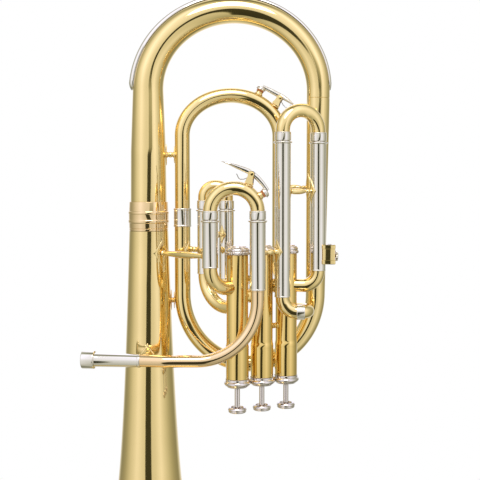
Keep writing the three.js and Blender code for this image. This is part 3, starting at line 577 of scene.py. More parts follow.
def bell():
    levels = [4.2 + (BELL_TOP - 4.2) * (k / 110) ** 2.1 for k in range(111)]
    outside = [(bell_radius(z), z, 0) for z in levels]
    inside = []
    for z in levels:
        slope = (bell_radius(z + 0.05) - bell_radius(z - 0.05)) / 0.1
        reach = WALL / sqrt(1 + slope**2)
        inside.append((bell_radius(z) - reach, z + reach * slope, 0))
    rim = [(99.4, 0, 1), (102.2, 0, 1.1), (RIM_RADIUS, 1.7, 0.9), (102.2, 3.4, 1.1), (99.6, 3.6, 0.6)]
    build("bell", turned([*inside[::-1], *rim, *outside], sides=180), BRASS)


def bell_ferrule():
    outline = [
        (17.1, 343), (17.1, 349.2), (17.95, 349.2), (18.02, 351.1, 0.05), (17.8, 351.3, 0.05),
        (18.05, 351.6, 0.05), (18.15, 356.2, 0.3), (18.75, 356.8, 0.5), (18.75, 358.8, 0.5),
        (18.35, 359.3, 0.3), (18.4, 364.4, 0.3), (18.75, 364.9, 0.5), (18.7, 366.6, 0.5),
        (18.1, 367.2, 0.3), (17.75, 375.6, 0.35), (17.2, 375.6), (17.2, 365), (16.2, 364.6),
        (16.2, 343),
    ]
    build("bell_ferrule", turned(outline, sides=128), PALE_GOLD)


def bow_path():
    left, right = vec(BOW_LEFT, 0, BOW_SPRING), vec(BOW_RIGHT, 0, BOW_SPRING)
    arch = half_ellipse(left, right, BOW_RISE)
    return spaced([vec(BOW_LEFT, 0, BOW_LOW), *arch, vec(BOW_RIGHT, 0, BOW_END)])


def bottom_bow():
    build("bottom_bow", tube(bow_path(), BOW_OUTER, 96), BRASS)


def bow_guard():
    """A strip along the outside of the bow, thick at its middle, thin at its edges, its ends round."""
    rows = [row for row in framed(bow_path()) if row[0][2] >= BOW_SPRING - 0.5]
    half_turn, tip, arcs = radians(24), 6.0, 16
    start, finish = rows[0][2], rows[-1][2]
    length = sum(np.linalg.norm(b[0] - a[0]) for a, b in zip(rows, rows[1:]))
    middle = vec((BOW_LEFT + BOW_RIGHT) / 2, 0, BOW_SPRING)
    rings = []
    for point, along, share, _, _ in rows:
        out = unit(np.cross(ACROSS, along))
        out = out if out.dot(point - middle) > 0 else -out
        radius = at_share(share, BOW_OUTER) / 2
        run = (share - start) / (finish - start) * length
        near = min(run, length - run)
        narrow = sqrt(max(0.003, 1 - max(0, 1 - near / tip) ** 2))
        proud = (radius + 0.3) * 1.032 + np.interp(share, [0.3, 1], [3.0, 0.9]) - radius
        proud *= min(1, 0.35 + near / 6)

        def arc(lift):
            ring = []
            for k in range(arcs + 1):
                turn = -1 + 2 * k / arcs
                angle = turn * half_turn * narrow
                reach = radius + 0.05 + lift * (0.25 + 0.75 * (1 - turn**4))
                ring.append(point + out * reach * cos(angle) + ACROSS * reach * sin(angle))
            return ring

        rings.append(arc(proud) + arc(0)[::-1])
    build("bow_guard", skin(rings, False), NICKEL)


def first_branch():
    left, right = vec(BRANCH_LEFT, 0, BRANCH_SPRING), vec(BRANCH_RIGHT, 0, BRANCH_SPRING)
    sag = half_ellipse(left, right, -BRANCH_DROP)
    top = vec(BRANCH_LEFT, 0, INNER_LOW - 0.4)
    shape = tube(spaced([top, *sag, vec(BOW_RIGHT, 0, BOW_END - 0.05)]), BRANCH_OUTER)
    neck = [(9.2, BOW_END - 4), (9.9, BOW_END - 4), (9.9, BOW_END + 6), (9.2, BOW_END + 6)]
    shape.join(turned(neck, vec(BOW_RIGHT, 0), sides=BRASS_SIDES))
    shape.join(short_stay(285, bell_radius(285), 7.5))
    build("first_branch", shape, BRASS)


def short_stay(level, near, far):
    """The short stay between the tube on the bell's axis and the left leg, with its flanges."""
    start, finish = vec(near - 0.3, 0, level), vec(BRANCH_LEFT - far + 0.3, 0, level)
    shape = spindle_short(start, finish)
    shape.join(diamond(vec(0, 0), level, near, vec(1, 0), 20, 9, 0.7))
    return shape.join(diamond(vec(BRANCH_LEFT, 0), level, far, vec(-1, 0), 16, 7, 0.7))


def spindle_short(start, finish):
    """A short turned stay, wide at its ends and thicker again in its middle."""
    length = np.linalg.norm(finish - start)
    half = [
        (0, length / 2), (3.2, length / 2, 0.1), (2.9, 0.34 * length, 0.4), (1.9, 0.2 * length, 0.5),
        (2.7, 0.1 * length, 0.5),
    ]
    return turned(mirrored(half, length / 2), start, finish - start, 28, 0.3)


def inner_bow():
    left, right = vec(BRANCH_LEFT, 0, INNER_SPRING), INNER_RIGHT + UP * INNER_SPRING
    corner = INNER_RIGHT + UP * INNER_PORT
    toward = unit(VALVES[2] - INNER_RIGHT)
    end = VALVES[2] + UP * INNER_PORT - toward * SEAT_RADIUS
    arch = half_ellipse(left, right, INNER_RISE)
    path = spaced([vec(BRANCH_LEFT, 0, INNER_LOW), *arch, *bent([right, corner, end], [12])[1:]])
    shape = tube(path, INNER_OUTER, seat=VALVES[2])
    shape.join(short_stay(418.6, 16.2, 7))
    shape.join(nipple(KEY_2))
    build("inner_bow", shape, BRASS)


def inner_bow_ferrule():
    (*_, low), (*_, high) = limits("inner_bow_ferrule")
    end = (high - low) / 2
    half = [
        (7.4, end), (8.1, end, 0.3), (8.35, end - 0.5, 0.3), (8.35, end - 1.3, 0.3),
        (8.05, end - 1.7, 0.15),
    ]
    outline = mirrored(half, (low + high) / 2)
    build("inner_bow_ferrule", turned(outline, vec(BRANCH_LEFT, 0), sides=64), NICKEL)


# ---- leadpipe and receiver ----


def leadpipe():
    end = limits("main_slide_sleeve_right")[0][2]
    receiver = SLANT_END - SLANT * RECEIVER_LENGTH + UP * LEADPIPE_LEVEL
    corners = [
        MAIN_RIGHT + UP * (end + 6),
        MAIN_RIGHT + UP * LEADPIPE_LEVEL,
        SLANT_FROM + UP * LEADPIPE_LEVEL,
        receiver + SLANT * 4,
    ]
    path = bent(corners, [LEADPIPE_BEND, 60])
    shape = tube(path, ((0, 12.1), (0.17, 11.4), (0.4, LEADPIPE_OUTER), (1, LEADPIPE_OUTER - 0.1)))
    lip = [(5.9, -1.3), (6.25, -1.2, 0.2), (6.4, -0.3, 0.3), (6.2, 0.2), (5.9, 0.2)]
    shape.join(turned(lip, MAIN_RIGHT + UP * end, sides=64))
    build("leadpipe", shape, GOLD)


def mouthpiece_receiver():
    start = SLANT_END - SLANT * RECEIVER_LENGTH + UP * LEADPIPE_LEVEL
    ring = RECEIVER_LENGTH - 11.4
    outline = [
        (5.45, 0), (5.8, 0, 0.3), (6.0, 0.5, 0.2), (6.0, 2.2, 0.2), (5.75, 2.5, 0.15),
        (6.2, ring - 0.2, 0.1), (7.5, ring, 0.35), (8.1, ring + 0.4, 0.35),
        (8.1, RECEIVER_LENGTH, 0.9), (4.9, RECEIVER_LENGTH, 0.6), (4.2, RECEIVER_LENGTH - 28),
        (4.2, 8), (5.45, 7.5),
    ]
    build("mouthpiece_receiver", turned(outline, start, SLANT, 72, 0.3), NICKEL)


# ---- valves ----


def casing(index):
    outline = [
        (8.95, 215.5), (9.4, 215.5), (9.4, 219.8), (10.15, 219.8, 0.2), (10.15, 245.5, 2),
        (10.25, 247.6, 1), (10.1, 249.2, 1), (9.65, 251.2, 1.2), (9.65, 329.5, 0.2), (9.4, 329.5),
        (9.4, 333), (8.95, 333),
    ]
    shape = turned(outline, VALVES[index], sides=72)
    if index == 1:
        for other, level in ((0, 293.0), (2, 301.0)):
            shape.join(casing_link(VALVES[1], VALVES[other], level))
    if index == 2:
        shape.join(casing_stay(VALVES[2], VALVES[1], 265.0))
    return shape


def casing_link(near, far, level):
    """The tube between two casings, with a raised ring round its middle."""
    middle = np.linalg.norm(far - near) / 2
    end = middle - 7.4
    half = [(4.9, end), (5.6, end), (5.6, 1.1, 0.3), (6.3, 0.8, 0.3)]
    return turned(mirrored(half, middle), near + UP * level, far - near, 48)


def casing_stay(near, far, level):
    """The solid stay between two casings, with a bead at its middle."""
    low, high = CASING_RADIUS - 0.5, np.linalg.norm(far - near) - CASING_RADIUS + 0.3
    end = (high - low) / 2
    half = [(0, end), (3.3, end, 0.2), (3.1, end - 0.9, 0.3), (1.8, 0.8, 0.3), (2.6, 0.4, 0.2)]
    return turned(mirrored(half, (low + high) / 2), near + UP * level, far - near, 32)


def top_cap(index):
    """The cap at the stem's end: a plain band, a rounded ring, then a cone in two steps."""
    outline = [
        (2.9, 211.4), (6.4, 211.4, 0.4), (9.0, 212.2, 0.5), (9.3, 213.0, 0.2), (10.7, 213.5, 0.5),
        (11.85, 215.1, 0.8), (11.85, 216.3, 0.8), (10.9, 217.4, 0.3), (10.55, 217.6, 0.15),
        (10.55, 219.6, 0.3), (9.5, 219.6), (9.5, 215.2), (8.9, 215.2), (8.9, 213.4), (2.9, 213.4),
    ]
    return turned(outline, VALVES[index], sides=72, bevel=0.2)


def bottom_cap(index):
    outline = [
        (2.6, 336.6), (9.5, 336.4), (9.5, 329.9), (10.9, 329.9, 0.4), (11.15, 330.6, 0.4),
        (11.15, 332.0, 0.5), (10.5, 332.7, 0.2), (10.3, 333.1, 0.15), (10.75, 333.6, 0.3),
        (10.6, 334.6, 0.4), (9.7, 335.9, 0.8), (8.2, 336.7, 0.3), (7.9, 337.3, 0.3), (6.8, 337.9, 0.4),
        (3.4, 337.6, 0.4), (2.6, 337.2),
    ]
    ripple = (330.4, 332.2, 36, 0.35)
    return turned(outline, VALVES[index], sides=144, bevel=0.2, ripple=ripple)


def button(index):
    """The stem and its button, a dish with a rounded edge in two steps, open towards the valve."""
    outline = [
        (0, 188.9), (5.8, 188.9, 1.2), (7.6, 189.5, 0.6), (8.1, 190.4, 0.4), (7.9, 191.1, 0.25),
        (8.3, 191.6, 0.35), (8.25, 192.6, 0.5), (7.3, 193.9, 0.5), (6.4, 194.2, 0.5), (5.7, 193.9, 0.4),
        (4.9, 191.9, 0.5), (2.4, 191.6, 0.2), (2.4, 222.2, 0.2), (1.6, 222.4), (1.6, 224.5),
        (0, 224.5),
    ]
    return turned(outline, VALVES[index], sides=64)


def button_felt(index):
    outline = [(2.5, 191.7), (4.5, 191.7, 0.2), (4.5, 192.6, 0.3), (2.5, 192.6)]
    return turned(outline, VALVES[index], sides=40)


def valve_spring(index):
    return rod(coil(VALVES[index], vec(1, 0), ACROSS, 5, 225.3, 250.2, 7, 36), 0.5, 10)


def valve(index):
    name = f"valve_{index + 1}"
    build(f"{name}_casing", casing(index), CASING_BRASS)
    build(f"{name}_top_cap", top_cap(index), CAP_NICKEL)
    build(f"{name}_bottom_cap", bottom_cap(index), CAP_NICKEL)
    build(f"{name}_button", button(index), CAP_NICKEL, name)
    build(f"{name}_felt", button_felt(index), FELT, name)
    spring = build(f"{name}_spring", valve_spring(index), STEEL)
    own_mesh(spring)
    for kind in ("piston", "guide"):
        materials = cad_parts[f"{name}_{kind}"].data.materials
        materials.clear()
        materials.append(MONEL[0])


# ---- slides ----


def sleeve(foot, low, ring):
    """An outer sleeve with a rounded ring at its mouth and a thin band at its other end."""
    outline = [
        (6.5, low), (6.9, low, 0.2), (7.1, low + 0.3, 0.2), (7.1, low + 1.0, 0.2), (6.95, low + 1.2, 0.1),
        (6.95, ring - 2.0, 0.1), (7.3, ring - 1.9, 0.2), (8.15, ring - 1.5, 0.5), (8.15, ring - 0.3, 0.5),
        (7.3, ring, 0.3), (6.5, ring, 0.2),
    ]
    return turned(outline, foot, sides=BRASS_SIDES)


def leg(foot, low, ring):
    """An inner leg, and the collar on it that takes the crook."""
    base, top = ring + 0.5, ring + 0.6 + COLLAR_TALL
    outline = [
        (5.6, low), (6.2, low, 0.3), (6.2, base, 0.05), (7.1, base, 0.2), (7.2, base + 0.6, 0.2),
        (7.2, top - 1.5, 0.05), (7.08, top - 1.4, 0.05), (7.2, top - 1.2, 0.05), (7.2, top - 0.2, 0.3),
        (6.4, top, 0.2), (6.3, base + 2), (5.6, base + 2),
    ]
    return turned(outline, foot, sides=BRASS_SIDES)


def crook(left, right, arc, ring):
    half = np.linalg.norm(right - left) / 2
    low, high = ring + 3, arc + half
    corners = [left + UP * low, left + UP * high, right + UP * high, right + UP * low]
    return tube(bent(corners, [half, half]), LEG)


def elbow(index, foot, end, level, bend):
    """A tube from a sleeve's lower end round to a casing."""
    toward = unit(VALVES[index] - foot)
    last = VALVES[index] - toward * SEAT_RADIUS + UP * level
    path = bent([foot + UP * (end + 6), foot + UP * level, last], [bend])
    return tube(path, PIPE, seat=VALVES[index])


def main_slide():
    for side, foot in (("left", MAIN_LEFT), ("right", MAIN_RIGHT)):
        node = f"main_slide_sleeve_{side}"
        low = limits(node)[0][2]
        build(node, sleeve(foot, low, MAIN_RING), NICKEL)
        node = f"main_slide_leg_{side}"
        build(node, leg(foot, limits(node)[0][2], MAIN_RING), NICKEL, "main_slide")
    shape = crook(MAIN_LEFT, MAIN_RIGHT, 368.1, MAIN_RING).join(nipple(KEY_1))
    build("main_slide_crook", shape, BRASS, "main_slide")
    low = limits("main_slide_sleeve_left")[0][2]
    build("main_slide_elbow", elbow(0, MAIN_LEFT, low, 301, 18), BRASS)


def slide(name, left, right, arc, ring, ends):
    """Two outer sleeves, and the crook with its inner legs that slides in them."""
    sleeves = sleeve(left, ends[0], ring).join(sleeve(right, ends[1], ring))
    build(f"{name}_sleeves", sleeves, NICKEL)
    build(f"{name}_crook", crook(left, right, arc, ring), BRASS, name)
    legs = leg(left, ends[0] + 8, ring).join(leg(right, ends[1] + 8, ring))
    build(f"{name}_legs", legs, NICKEL, name, f"{name}_crook")


def first_slide():
    ends = (310.3, 306.0)
    slide("first_slide", FIRST_LEFT, FIRST_RIGHT, 380, FIRST_RING, ends)
    stays = spindle_short(FIRST_LEFT + vec(6.8, 0, 346), FIRST_RIGHT + vec(-6.8, 0, 346))
    facing = unit(vec(-0.56, -0.83))
    stays.join(diamond(FIRST_RIGHT, 346.5, 6.95, facing, 17, 8, 0.8))
    boss = FIRST_RIGHT + facing * 7.4 + UP * 346.5
    outline = [(0, 0), (2.4, 0, 0.1), (2.1, 1.2, 0.5), (1.1, 1.5, 0.3), (0.8, 0.9, 0.2), (0, 0.9)]
    stays.join(turned(outline, boss, facing, 24))
    start, finish = vec(BRANCH_LEFT + 7.2, 0, 332), FIRST_LEFT + UP * 332
    toward = unit(finish - start)
    stays.join(spindle_short(start, finish - toward * 6.9))
    stays.join(diamond(vec(BRANCH_LEFT, 0), 332, 7.35, toward, 16, 8, 0.7))
    stays.join(diamond(FIRST_LEFT, 332, 6.95, -toward, 16, 8, 0.7))
    build("first_slide_stays", stays, BRASS, node="first_slide_sleeves")
    for side, foot, end, level, bend in (
        ("left", FIRST_LEFT, ends[0], 282, 28), ("right", FIRST_RIGHT, ends[1], 298, 8),
    ):
        build(f"first_slide_elbow_{side}", elbow(0, foot, end, level, bend), BRASS)


def second_slide():
    aim, (low, high) = SECOND_AIM, SECOND_LEVELS
    start, ring, half = 17.0, 37.0, (high - low) / 2
    outline = [
        (5.45, 7.2), (6.15, 7.2), (6.15, start - 0.3, 0.1), (7.1, start, 0.3), (7.1, start + 1, 0.2),
        (6.95, start + 1.2, 0.1), (6.95, ring - 2, 0.1), (8.15, ring - 1.6, 0.5), (8.15, ring - 0.3, 0.5),
        (7.2, ring, 0.2), (6.5, ring), (6.5, start + 2), (5.45, start + 2),
    ]
    shape = Shape()
    for level in (low, high):
        shape.join(turned(outline, VALVES[1] + UP * level, aim, BRASS_SIDES))
    web = VALVES[1] + aim * 28
    shape.join(spindle_short(web + UP * (low + 6.7), web + UP * (high - 6.7)))
    build("second_slide_sleeves", shape, NICKEL)
    inner, outer = VALVES[1] + aim * (start + 3), VALVES[1] + aim * (46.5 + half)
    corners = [inner + UP * low, outer + UP * low, outer + UP * high, inner + UP * high]
    bow = tube(bent(corners, [half, half]), LEG)
    for level in (low, high):
        collar = [(6.0, 0), (7.1, 0, 0.2), (7.2, 0.5, 0.2), (7.2, 6.5, 0.3), (6.0, 6.8)]
        bow.join(turned(collar, VALVES[1] + aim * (ring + 0.6) + UP * level, aim, BRASS_SIDES))
    build("second_slide_crook", bow, BRASS, "second_slide")


def third_slide():
    ends = (292.2, 314.3)
    slide("third_slide", THIRD_LEFT, THIRD_RIGHT, 439, THIRD_RING, ends)
    toward = unit(THIRD_RIGHT - THIRD_LEFT)
    start, finish = THIRD_LEFT + toward * 6.8 + UP * 385.5, THIRD_RIGHT - toward * 6.8 + UP * 385.5
    stay = spindle(start, finish, 5.6, bead=True)
    for foot, way, tall, wide in ((THIRD_LEFT, 1, 16, 8), (THIRD_RIGHT, -1, 22, 11)):
        stay.join(diamond(foot, 385.5, 6.95, toward * way, tall, wide, 0.7))
    build("third_slide_stay", stay, BRASS, node="third_slide_sleeves")
    turn_x, level, valve_y = 144.0, 278.9, VALVES[2][1]
    half = (valve_y - THIRD_LEFT[1]) / 2
    corners = [
        THIRD_LEFT + UP * (ends[0] + 6), THIRD_LEFT + UP * level, vec(turn_x, THIRD_LEFT[1], level),
        vec(turn_x, valve_y, level), VALVES[2] + vec(SEAT_RADIUS - 2, 0, level),
    ]
    shape = tube(bent(corners, [13, half, half]), PIPE, seat=VALVES[2])
    build("third_slide_knuckle", shape, BRASS)
    ferrule = mirrored([(5.9, 3.6), (6.7, 3.6, 0.2), (6.85, 3.1, 0.2)])
    shape = turned(ferrule, vec(137.2, THIRD_LEFT[1], level), vec(1, 0), BRASS_SIDES)
    build("third_slide_ferrule", shape, NICKEL)
    build("third_slide_elbow", elbow(2, THIRD_RIGHT, ends[1], 300.9, 13), BRASS)


# ---- water keys ----


# A water key stands in an upright plane. arm is its lever's curve from the touch to the cup, out is
# the nipple's direction, and base is the saddle's foot on the tube.
Key = namedtuple("Key", "name body arm pivot nipple out base spring")


def key_1():
    y = MAIN_LEFT[1]
    centre, out = vec(78.45, y, 368.1), unit(vec(23.45, 0, 14.5))
    post = unit(vec(14.15, 0, 25.9))
    reach = 20.45 + LEG / 2
    arm = [
        (67.7, 411.7), (75.9, 409.0), (83.7, 406.0), (91.5, 402.6), (97.5, 398.4), (101.8, 394.0),
        (105.3, 389.6), (107.6, 386.4),
    ]
    spring = [(91.6, 2.9, 399.4), (88.6, 2.5, 396.8), (83.4, 1, 396.4), (80.7, 0, 400.9)]
    return Key(
        "water_key_1", "main_slide", [vec(x, y, z) for x, z in arm], vec(93.8, y, 400.7),
        centre + out * (reach + 2), out, centre + post * reach, [vec(0, y) + vec(*p) for p in spring],
    )


def key_2():
    y = 6.6
    out = unit(vec(0.431, 0, 0.902))
    arm = [
        (135.6, 461.8), (131.6, 465.4), (127.5, 468.6), (123.5, 471.1), (119.0, 473.5), (113.5, 476.4),
        (108.5, 479.0), (104.6, 481.2),
    ]
    spring = [(121.6, 2.9, 468.6), (123.4, 2.5, 464.6), (127.6, 1, 461.2), (130.2, 0, 464.2)]
    return Key(
        "water_key_2", "root", [vec(x, y, z) for x, z in arm], vec(120.4, y, 470.5),
        vec(101, y, 474.5) + out * 2, out, vec(116, y, 463.7), [vec(0, y) + vec(*p) for p in spring],
    )


def nipple(key):
    outline = [
        (1.5, -3), (3.9, -3, 0.3), (3.7, -1.6, 0.3), (3.2, -1.2, 0.2), (3.1, -0.5, 0.2),
        (3.35, -0.1, 0.15), (3.2, 0.1, 0.1), (1.5, 0.1),
    ]
    return turned(outline, key.nipple, key.out, 36)


def smooth_line(points, parts=8):
    """A curve through points, as a row of cubic arcs."""
    padded = [2 * points[0] - points[1], *points, 2 * points[-1] - points[-2]]
    slopes = [(after - before) / 2 for before, after in zip(padded, padded[2:])]
    line = []
    for a, b, slope_a, slope_b in zip(points, points[1:], slopes, slopes[1:]):
        for k in range(parts):
            t = k / parts
            ends = (2 * t**3 - 3 * t**2 + 1) * a + (3 * t**2 - 2 * t**3) * b
            line.append(ends + (t**3 - 2 * t**2 + t) * slope_a + (t**3 - t**2) * slope_b)
    return [*line, points[-1]]


def lever(key):
    """The lever: a flat spatula at the touch, a thick curved arm over the pivot, and the cup."""
    rows = framed(smooth_line(key.arm))
    widths = ((0, 0.6), (0.04, 2.0), (0.15, 3.2), (0.3, 2.6), (0.5, 1.9), (0.85, 1.7), (1, 1.7))
    heights = ((0, 0.3), (0.08, 0.8), (0.25, 1.7), (0.45, 2.3), (0.7, 2.3), (0.85, 2.0), (1, 1.6))
    rings = []
    for row in rows:
        rings.append(oval(row, at_share(row[2], widths), at_share(row[2], heights), 24))
    shape = skin(rings, False)
    barrel = mirrored([(1.0, 2.2), (2.1, 2.2, 0.2)])
    shape.join(turned(barrel, key.pivot, ACROSS, 28))
    cup = [
        (0, 2.4), (3.2, 2.4), (3.2, 1.7), (4.1, 1.7, 0.3), (4.6, 2.1, 0.3), (4.5, 2.9, 0.3),
        (4.1, 3.2, 0.15), (4.3, 3.6, 0.25), (3.8, 4.6, 0.5), (2.4, 5.3, 0.5), (0, 5.5),
    ]
    return shape.join(turned(cup, key.nipple, key.out, 48, 0.2))


def saddle(key):
    """A round flared foot on the tube, two cheeks and the pivot screw between them."""
    post = key.pivot - key.base
    tall = np.linalg.norm(post)
    post = unit(post)
    foot = [
        (0, -1.2), (4.2, -1.2, 0.2), (4.3, -0.4, 0.3), (3.4, 0.4, 0.6), (2.9, 1.6, 0.6), (2.9, 2.2, 0.3),
        (0, 2.2),
    ]
    shape = turned(foot, key.base, post, 40)
    side = unit(np.cross(ACROSS, post))
    edge = [(3.6, 0.4), (2.4, tall - 2.5), (2.8, tall + 0.6), (1.7, tall + 2.2)]
    cheek = [(-3.6, 0.4), *edge, *[(-x, z) for x, z in edge[:0:-1]]]
    turned_out = unit(side - ACROSS * 0.16)
    for low, high in ((2.6, 3.7), (-3.7, -2.6)):
        shape.join(plate(cheek, key.base, turned_out, post, low, high, 0.25))
    screw = [
        (0, -4.2), (1.5, -4.2, 0.3), (1.7, -3.4, 0.1), (0.9, -3.4), (0.9, 3.4), (1.7, 3.4, 0.1),
        (1.7, 4.0, 0.4), (0, 4.2),
    ]
    return shape.join(turned(screw, key.pivot, ACROSS, 28, 0.1))


def key_spring(key):
    """Steel wire: a coil round the pivot barrel and an arm that hooks on the saddle."""
    up = unit(key.pivot - key.base)
    shape = rod(coil(key.pivot, np.cross(ACROSS, up), up, 2.55, 1.6, -1.6, 3, 24), 0.3, 8)
    return shape.join(rod(smooth_line(key.spring), 0.38, 10))


def cork(key):
    outline = [(0, 0.2), (3.3, 0.2, 0.3), (3.4, 1.0, 0.3), (3.1, 2.3, 0.2), (0, 2.3)]
    return turned(outline, key.nipple, key.out, 36)


def water_key(key):
    name = key.name
    build(f"{name}_lever", lever(key), NICKEL, name)
    build(f"{name}_cork", cork(key), CORK, name)
    build(f"{name}_saddle", saddle(key), BRASS, key.body)
    build(f"{name}_spring", key_spring(key), STEEL, key.body)


KEY_1, KEY_2 = key_1(), key_2()


# ---- lyre box ----


def lyre_box():
    """A box with a groove round its middle, a slot through it and its front slightly rounded."""
    low, high = LYRE_LOW, LYRE_HIGH
    slot_low, slot_high = vec(162.45, -27), vec(165.95, -21)

    def ring(least, most, z, bevel, bulge=0.0):
        corners = [(*least[:2], bevel)]
        for k in range(1, 8):
            bow = bulge * (1 - (k / 4 - 1) ** 2)
            corners.append((least[0] + (most[0] - least[0]) * k / 8, least[1] - bow, 0))
        corners += [(most[0], least[1], bevel), (*most[:2], bevel), (least[0], most[1], bevel)]
        return [vec(x, y, z) for x, y in rounded_corners(corners, True)]

    def outer(z, inset):
        return ring(low + inset, high - inset, z, 0.5, 0.7)

    def inner(z, inset):
        return ring(slot_low - inset, slot_high + inset, z, 0.3)

    edge, groove, bottom, top = 0.5, 0.35, low[2], high[2]
    waist = [(-5.2, 0), (-4.9, groove), (4.9, groove), (5.2, 0)]
    rings = [outer(bottom, edge), outer(bottom + edge, 0)]
    rings += [outer((bottom + top) / 2 + z, inset) for z, inset in waist]
    rings += [outer(top - edge, 0), outer(top, edge)]
    rings += [inner(top, 0.3), inner(top - 0.3, 0), inner(bottom + 0.3, 0), inner(bottom, 0.3)]
    build("lyre_box", skin(rings, True), BRASS)


def lyre_screw():
    outline = [
        (0, -3.2), (1.5, -3.2, 0.3), (1.5, 0.3), (2.6, 0.3, 0.2), (4.4, 0.4, 0.3), (4.8, 0.9, 0.2),
        (4.8, 2.1, 0.2), (4.3, 2.6, 0.3), (2.6, 2.7, 0.2), (2.2, 2.4, 0.2), (0, 2.3),
    ]
    seat = vec(LYRE_HIGH[0], (LYRE_LOW[1] + LYRE_HIGH[1]) / 2, 327.8)
    shape = turned(outline, seat, vec(1, 0), 120, 0.2, ripple=(0.7, 2.3, 20, 0.45))
    build("lyre_screw", shape, NICKEL, "lyre_screw")


# ---- stays ----


def brace(name, level, thick, ends, bead=False):
    """A turned stay between two upright tubes. Each end is the tube's foot, its radius, its
    flange's height, width and thickness, and where it isn't square on, the way it faces."""
    (start, near, first), (finish, far, second, *aim) = ends
    toward = unit(finish - start)
    facing = aim[0] if aim else -toward
    from_point, to_point = start + toward * (near - 0.2), finish - toward * (far - 0.2)
    shape = spindle(from_point + UP * level, to_point + UP * level, thick, bead)
    shape.join(diamond(start, level, near, toward, *first))
    shape.join(diamond(finish, level, far, facing, *second))
    build(name, shape, BRASS)


def braces():
    half = SLEEVE / 2
    small = (14, 8, 0.8)
    at_bell = (vec(0, 0), bell_radius(329.2), (27, 18, 0.5))
    brace("bell_brace", 329.2, 6.4, (at_bell, (MAIN_LEFT, half, small)))
    brace("slide_stay", 332.7, 5.2, ((MAIN_RIGHT, half, small), (THIRD_LEFT, half, (22, 11.3, 0.6))))
    at_leg = (vec(154.2, 0), 9.6, (27, 17.7, 0.9), vec(-0.87, -0.5))
    brace("leg_stay", 388.7, 5.4, ((INNER_RIGHT, 7, small), at_leg), True)
    receiver_brace()


def receiver_brace():
    level = LEADPIPE_LEVEL
    radius = bell_radius(level)
    slope = (bell_radius(level + 5) - bell_radius(level - 5)) / 10
    shape = diamond(vec(0, 0), level, radius, vec(0, -1), 20, 14, 0.9, slope)
    outline = [
        (0, radius - 1), (4.6, radius - 0.5, 0.3), (4.2, radius + 1.6, 0.6), (2.4, radius + 3.4, 1),
        (2.4, 46, 1.5), (4.6, 49.6, 0.6), (5.2, 51.2, 0.3), (5.2, 52.2, 0.2), (0, 52.2),
    ]
    shape.join(turned(outline, vec(0, 0, level), vec(0, -1), 40))
    build("receiver_brace", shape, BRASS)


# ---- studio ----


def by_angle(stops, full):
    """Stops at angles, as places on a ramp. full is how many degrees the whole ramp covers."""
    return [(0.5 + angle / full, value) for angle, value in stops]


def ramp(n, value, stops):
    """Brightness along a value from 0 to 1, at (place, brightness) stops."""
    top = 1.3
    curve = n.add("FloatCurve", {"Value": value})
    points = curve.mapping.curves[0].points
    for i, (at, bright) in enumerate(stops):
        if i < 2:
            points[i].location = (at, bright / top)
        else:
            points.new(at, bright / top)
    for point in points:
        point.handle_type = "VECTOR"
    curve.mapping.update()
    return n.math("MULTIPLY", curve.outputs[0], top)


def opening(n, around, climb):
    """How much of the dark opening in front of the horn there is in a direction. It leans from
    left to right as it climbs, and fades out above."""
    leaning = [
        (-90, -8), (-30, -8), (-13, -6), (-7, -2), (-3, 1.4), (0, 6), (1.7, 9), (3.4, 12), (5, 18),
        (14, 24), (90, 24),
    ]
    middle = ramp(n, climb, by_angle([(up, 0.5 + turn / 360) for up, turn in leaning], 180))
    offset = n.math("ABSOLUTE", n.math("SUBTRACT", around, middle))
    half_wide, edge = 11.5 / 360, 0.5 / 360
    across = ramp(n, offset, [(0, 1), (half_wide - edge, 1), (half_wide + edge, 0), (1, 0)])
    fading = [(-90, 0), (-52, 0), (-48, 1), (3.2, 1), (5, 0.7), (10, 0.45), (16, 0), (90, 0)]
    return n.math("MULTIPLY", across, ramp(n, climb, by_angle(fading, 180)))


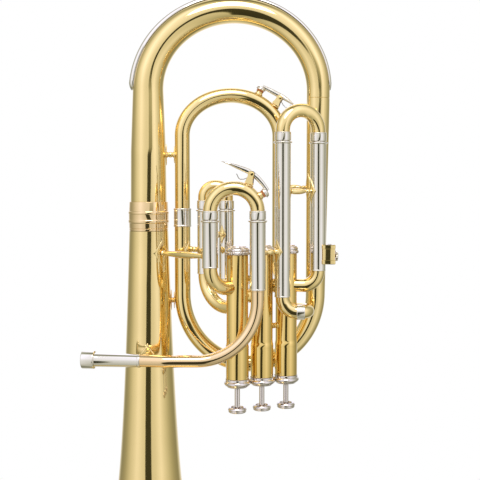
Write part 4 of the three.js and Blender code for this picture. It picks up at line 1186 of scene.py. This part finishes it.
def studio_world():
    """A white room round the horn. The dark opening in front gives each tube its dark line, and
    the darker walls to the sides give it soft dark edges. The camera itself sees plain white."""
    world = bpy.data.worlds.new("studio")
    bpy.context.scene.world = world
    n = Nodes(world)
    n.tree.nodes.clear()
    coords = n.add("TexCoord", {}).outputs["Generated"]
    x, y, z = n.add("SeparateXYZ", {0: coords}).outputs
    turn = n.math("ARCTAN2", x, n.math("MULTIPLY", y, -1))
    around = n.math("ADD", n.math("DIVIDE", turn, 2 * pi), 0.5)
    climb = n.math("ADD", n.math("DIVIDE", n.math("ARCSINE", z), pi), 0.5)
    # brightness round the room, with 0 degrees in front of the horn, and from the floor to the ceiling
    walls = [
        (-180, 1.2), (-160, 1.0), (-150, 0.8), (-142, 0.6), (-131, 0.34), (-115, 0.38), (-102, 0.46),
        (-92, 0.58), (-84, 0.68), (-75, 0.8), (-60, 0.94), (-48, 1.08), (-40, 1.06), (-24, 0.9),
        (-10, 0.82), (10, 0.8), (25, 0.86), (40, 1.02), (48, 1.08), (60, 0.92),
        (75, 0.74), (84, 0.64), (92, 0.55), (102, 0.46), (115, 0.38), (131, 0.34), (142, 0.6),
        (150, 0.8), (160, 1.0), (180, 1.2),
    ]
    levels = [
        (-90, 0.5), (-60, 0.55), (-36, 0.8), (-15, 0.9), (0, 1), (10, 1.1), (20, 1.25), (62, 1.25),
        (72, 0.7), (84, 0.3), (90, 0.25),
    ]
    wall, level = ramp(n, around, by_angle(walls, 360)), ramp(n, climb, by_angle(levels, 180))
    shut = n.math("SUBTRACT", 1, n.math("MULTIPLY", opening(n, around, climb), 0.93))
    bright = n.math("MULTIPLY", n.math("MULTIPLY", wall, shut), level)
    blue = n.math("ADD", 0.62, n.math("MULTIPLY", bright, 0.45))
    seen = n.seen()

    def white_if_seen(value):
        return n.math("ADD", n.math("MULTIPLY", value, n.math("SUBTRACT", 1, seen)), seen)

    colour = n.add("CombineXYZ", {0: 1, 1: 1, 2: white_if_seen(blue)}).outputs[0]
    background = n.add("Background", {"Color": colour, "Strength": white_if_seen(bright)})
    n.add("OutputWorld", {0: background.outputs[0]})


def floor():
    """A plain pale floor that the camera sees as white as the room."""
    size, low = 6.0, -0.0005
    mesh = bpy.data.meshes.new("floor")
    corners = [(x * size, y * size, low) for x, y in ((-1, -1), (1, -1), (1, 1), (-1, 1))]
    mesh.from_pydata(corners, [], [(0, 1, 2, 3)])
    made = new_object("floor", mesh)
    n = Material("floor")
    mesh.materials.append(n.surface({"Base Color": (0.8, 0.8, 0.8), "Roughness": 0.9}))
    glow = n.add("Emission", {})
    mix = n.add("MixShader", {0: n.seen(), 1: n.shader.outputs[0], 2: glow.outputs[0]})
    n.feed(n.tree.nodes["Material Output"], {0: mix.outputs[0]})
    made.visible_glossy = False


def aimed(name, data, place, aim):
    made = new_object(name, data)
    made.location = place
    made.rotation_euler = (Vector(aim) - Vector(place)).to_track_quat("-Z", "Y").to_euler()
    return made


def overhead_light():
    data = bpy.data.lights.new("overhead", "AREA")
    data.shape, data.size, data.energy = "DISK", 0.9, 8
    aimed("overhead", data, (0.05, -0.9, 1.5), (0.05, 0, 0.35))


def camera():
    """A long lens a little above the horn's middle, tilted slightly down."""
    across = (BELL_AXIS[0] + 83.7) * MM
    data = bpy.data.cameras.new("camera")
    data.lens, data.sensor_width, data.clip_start = 75.9, 36, 0.05
    bpy.context.scene.camera = aimed("camera", data, (across, -0.929, 0.3956), (across, 0, 0.3404))


bell()
bell_ferrule()
bottom_bow()
bow_guard()
first_branch()
inner_bow()
inner_bow_ferrule()
leadpipe()
mouthpiece_receiver()
for number in range(3):
    valve(number)
main_slide()
first_slide()
second_slide()
third_slide()
water_key(KEY_1)
water_key(KEY_2)
lyre_box()
lyre_screw()
braces()

studio_world()
floor()
overhead_light()
camera()
bpy.context.scene.view_settings.view_transform = "Standard"
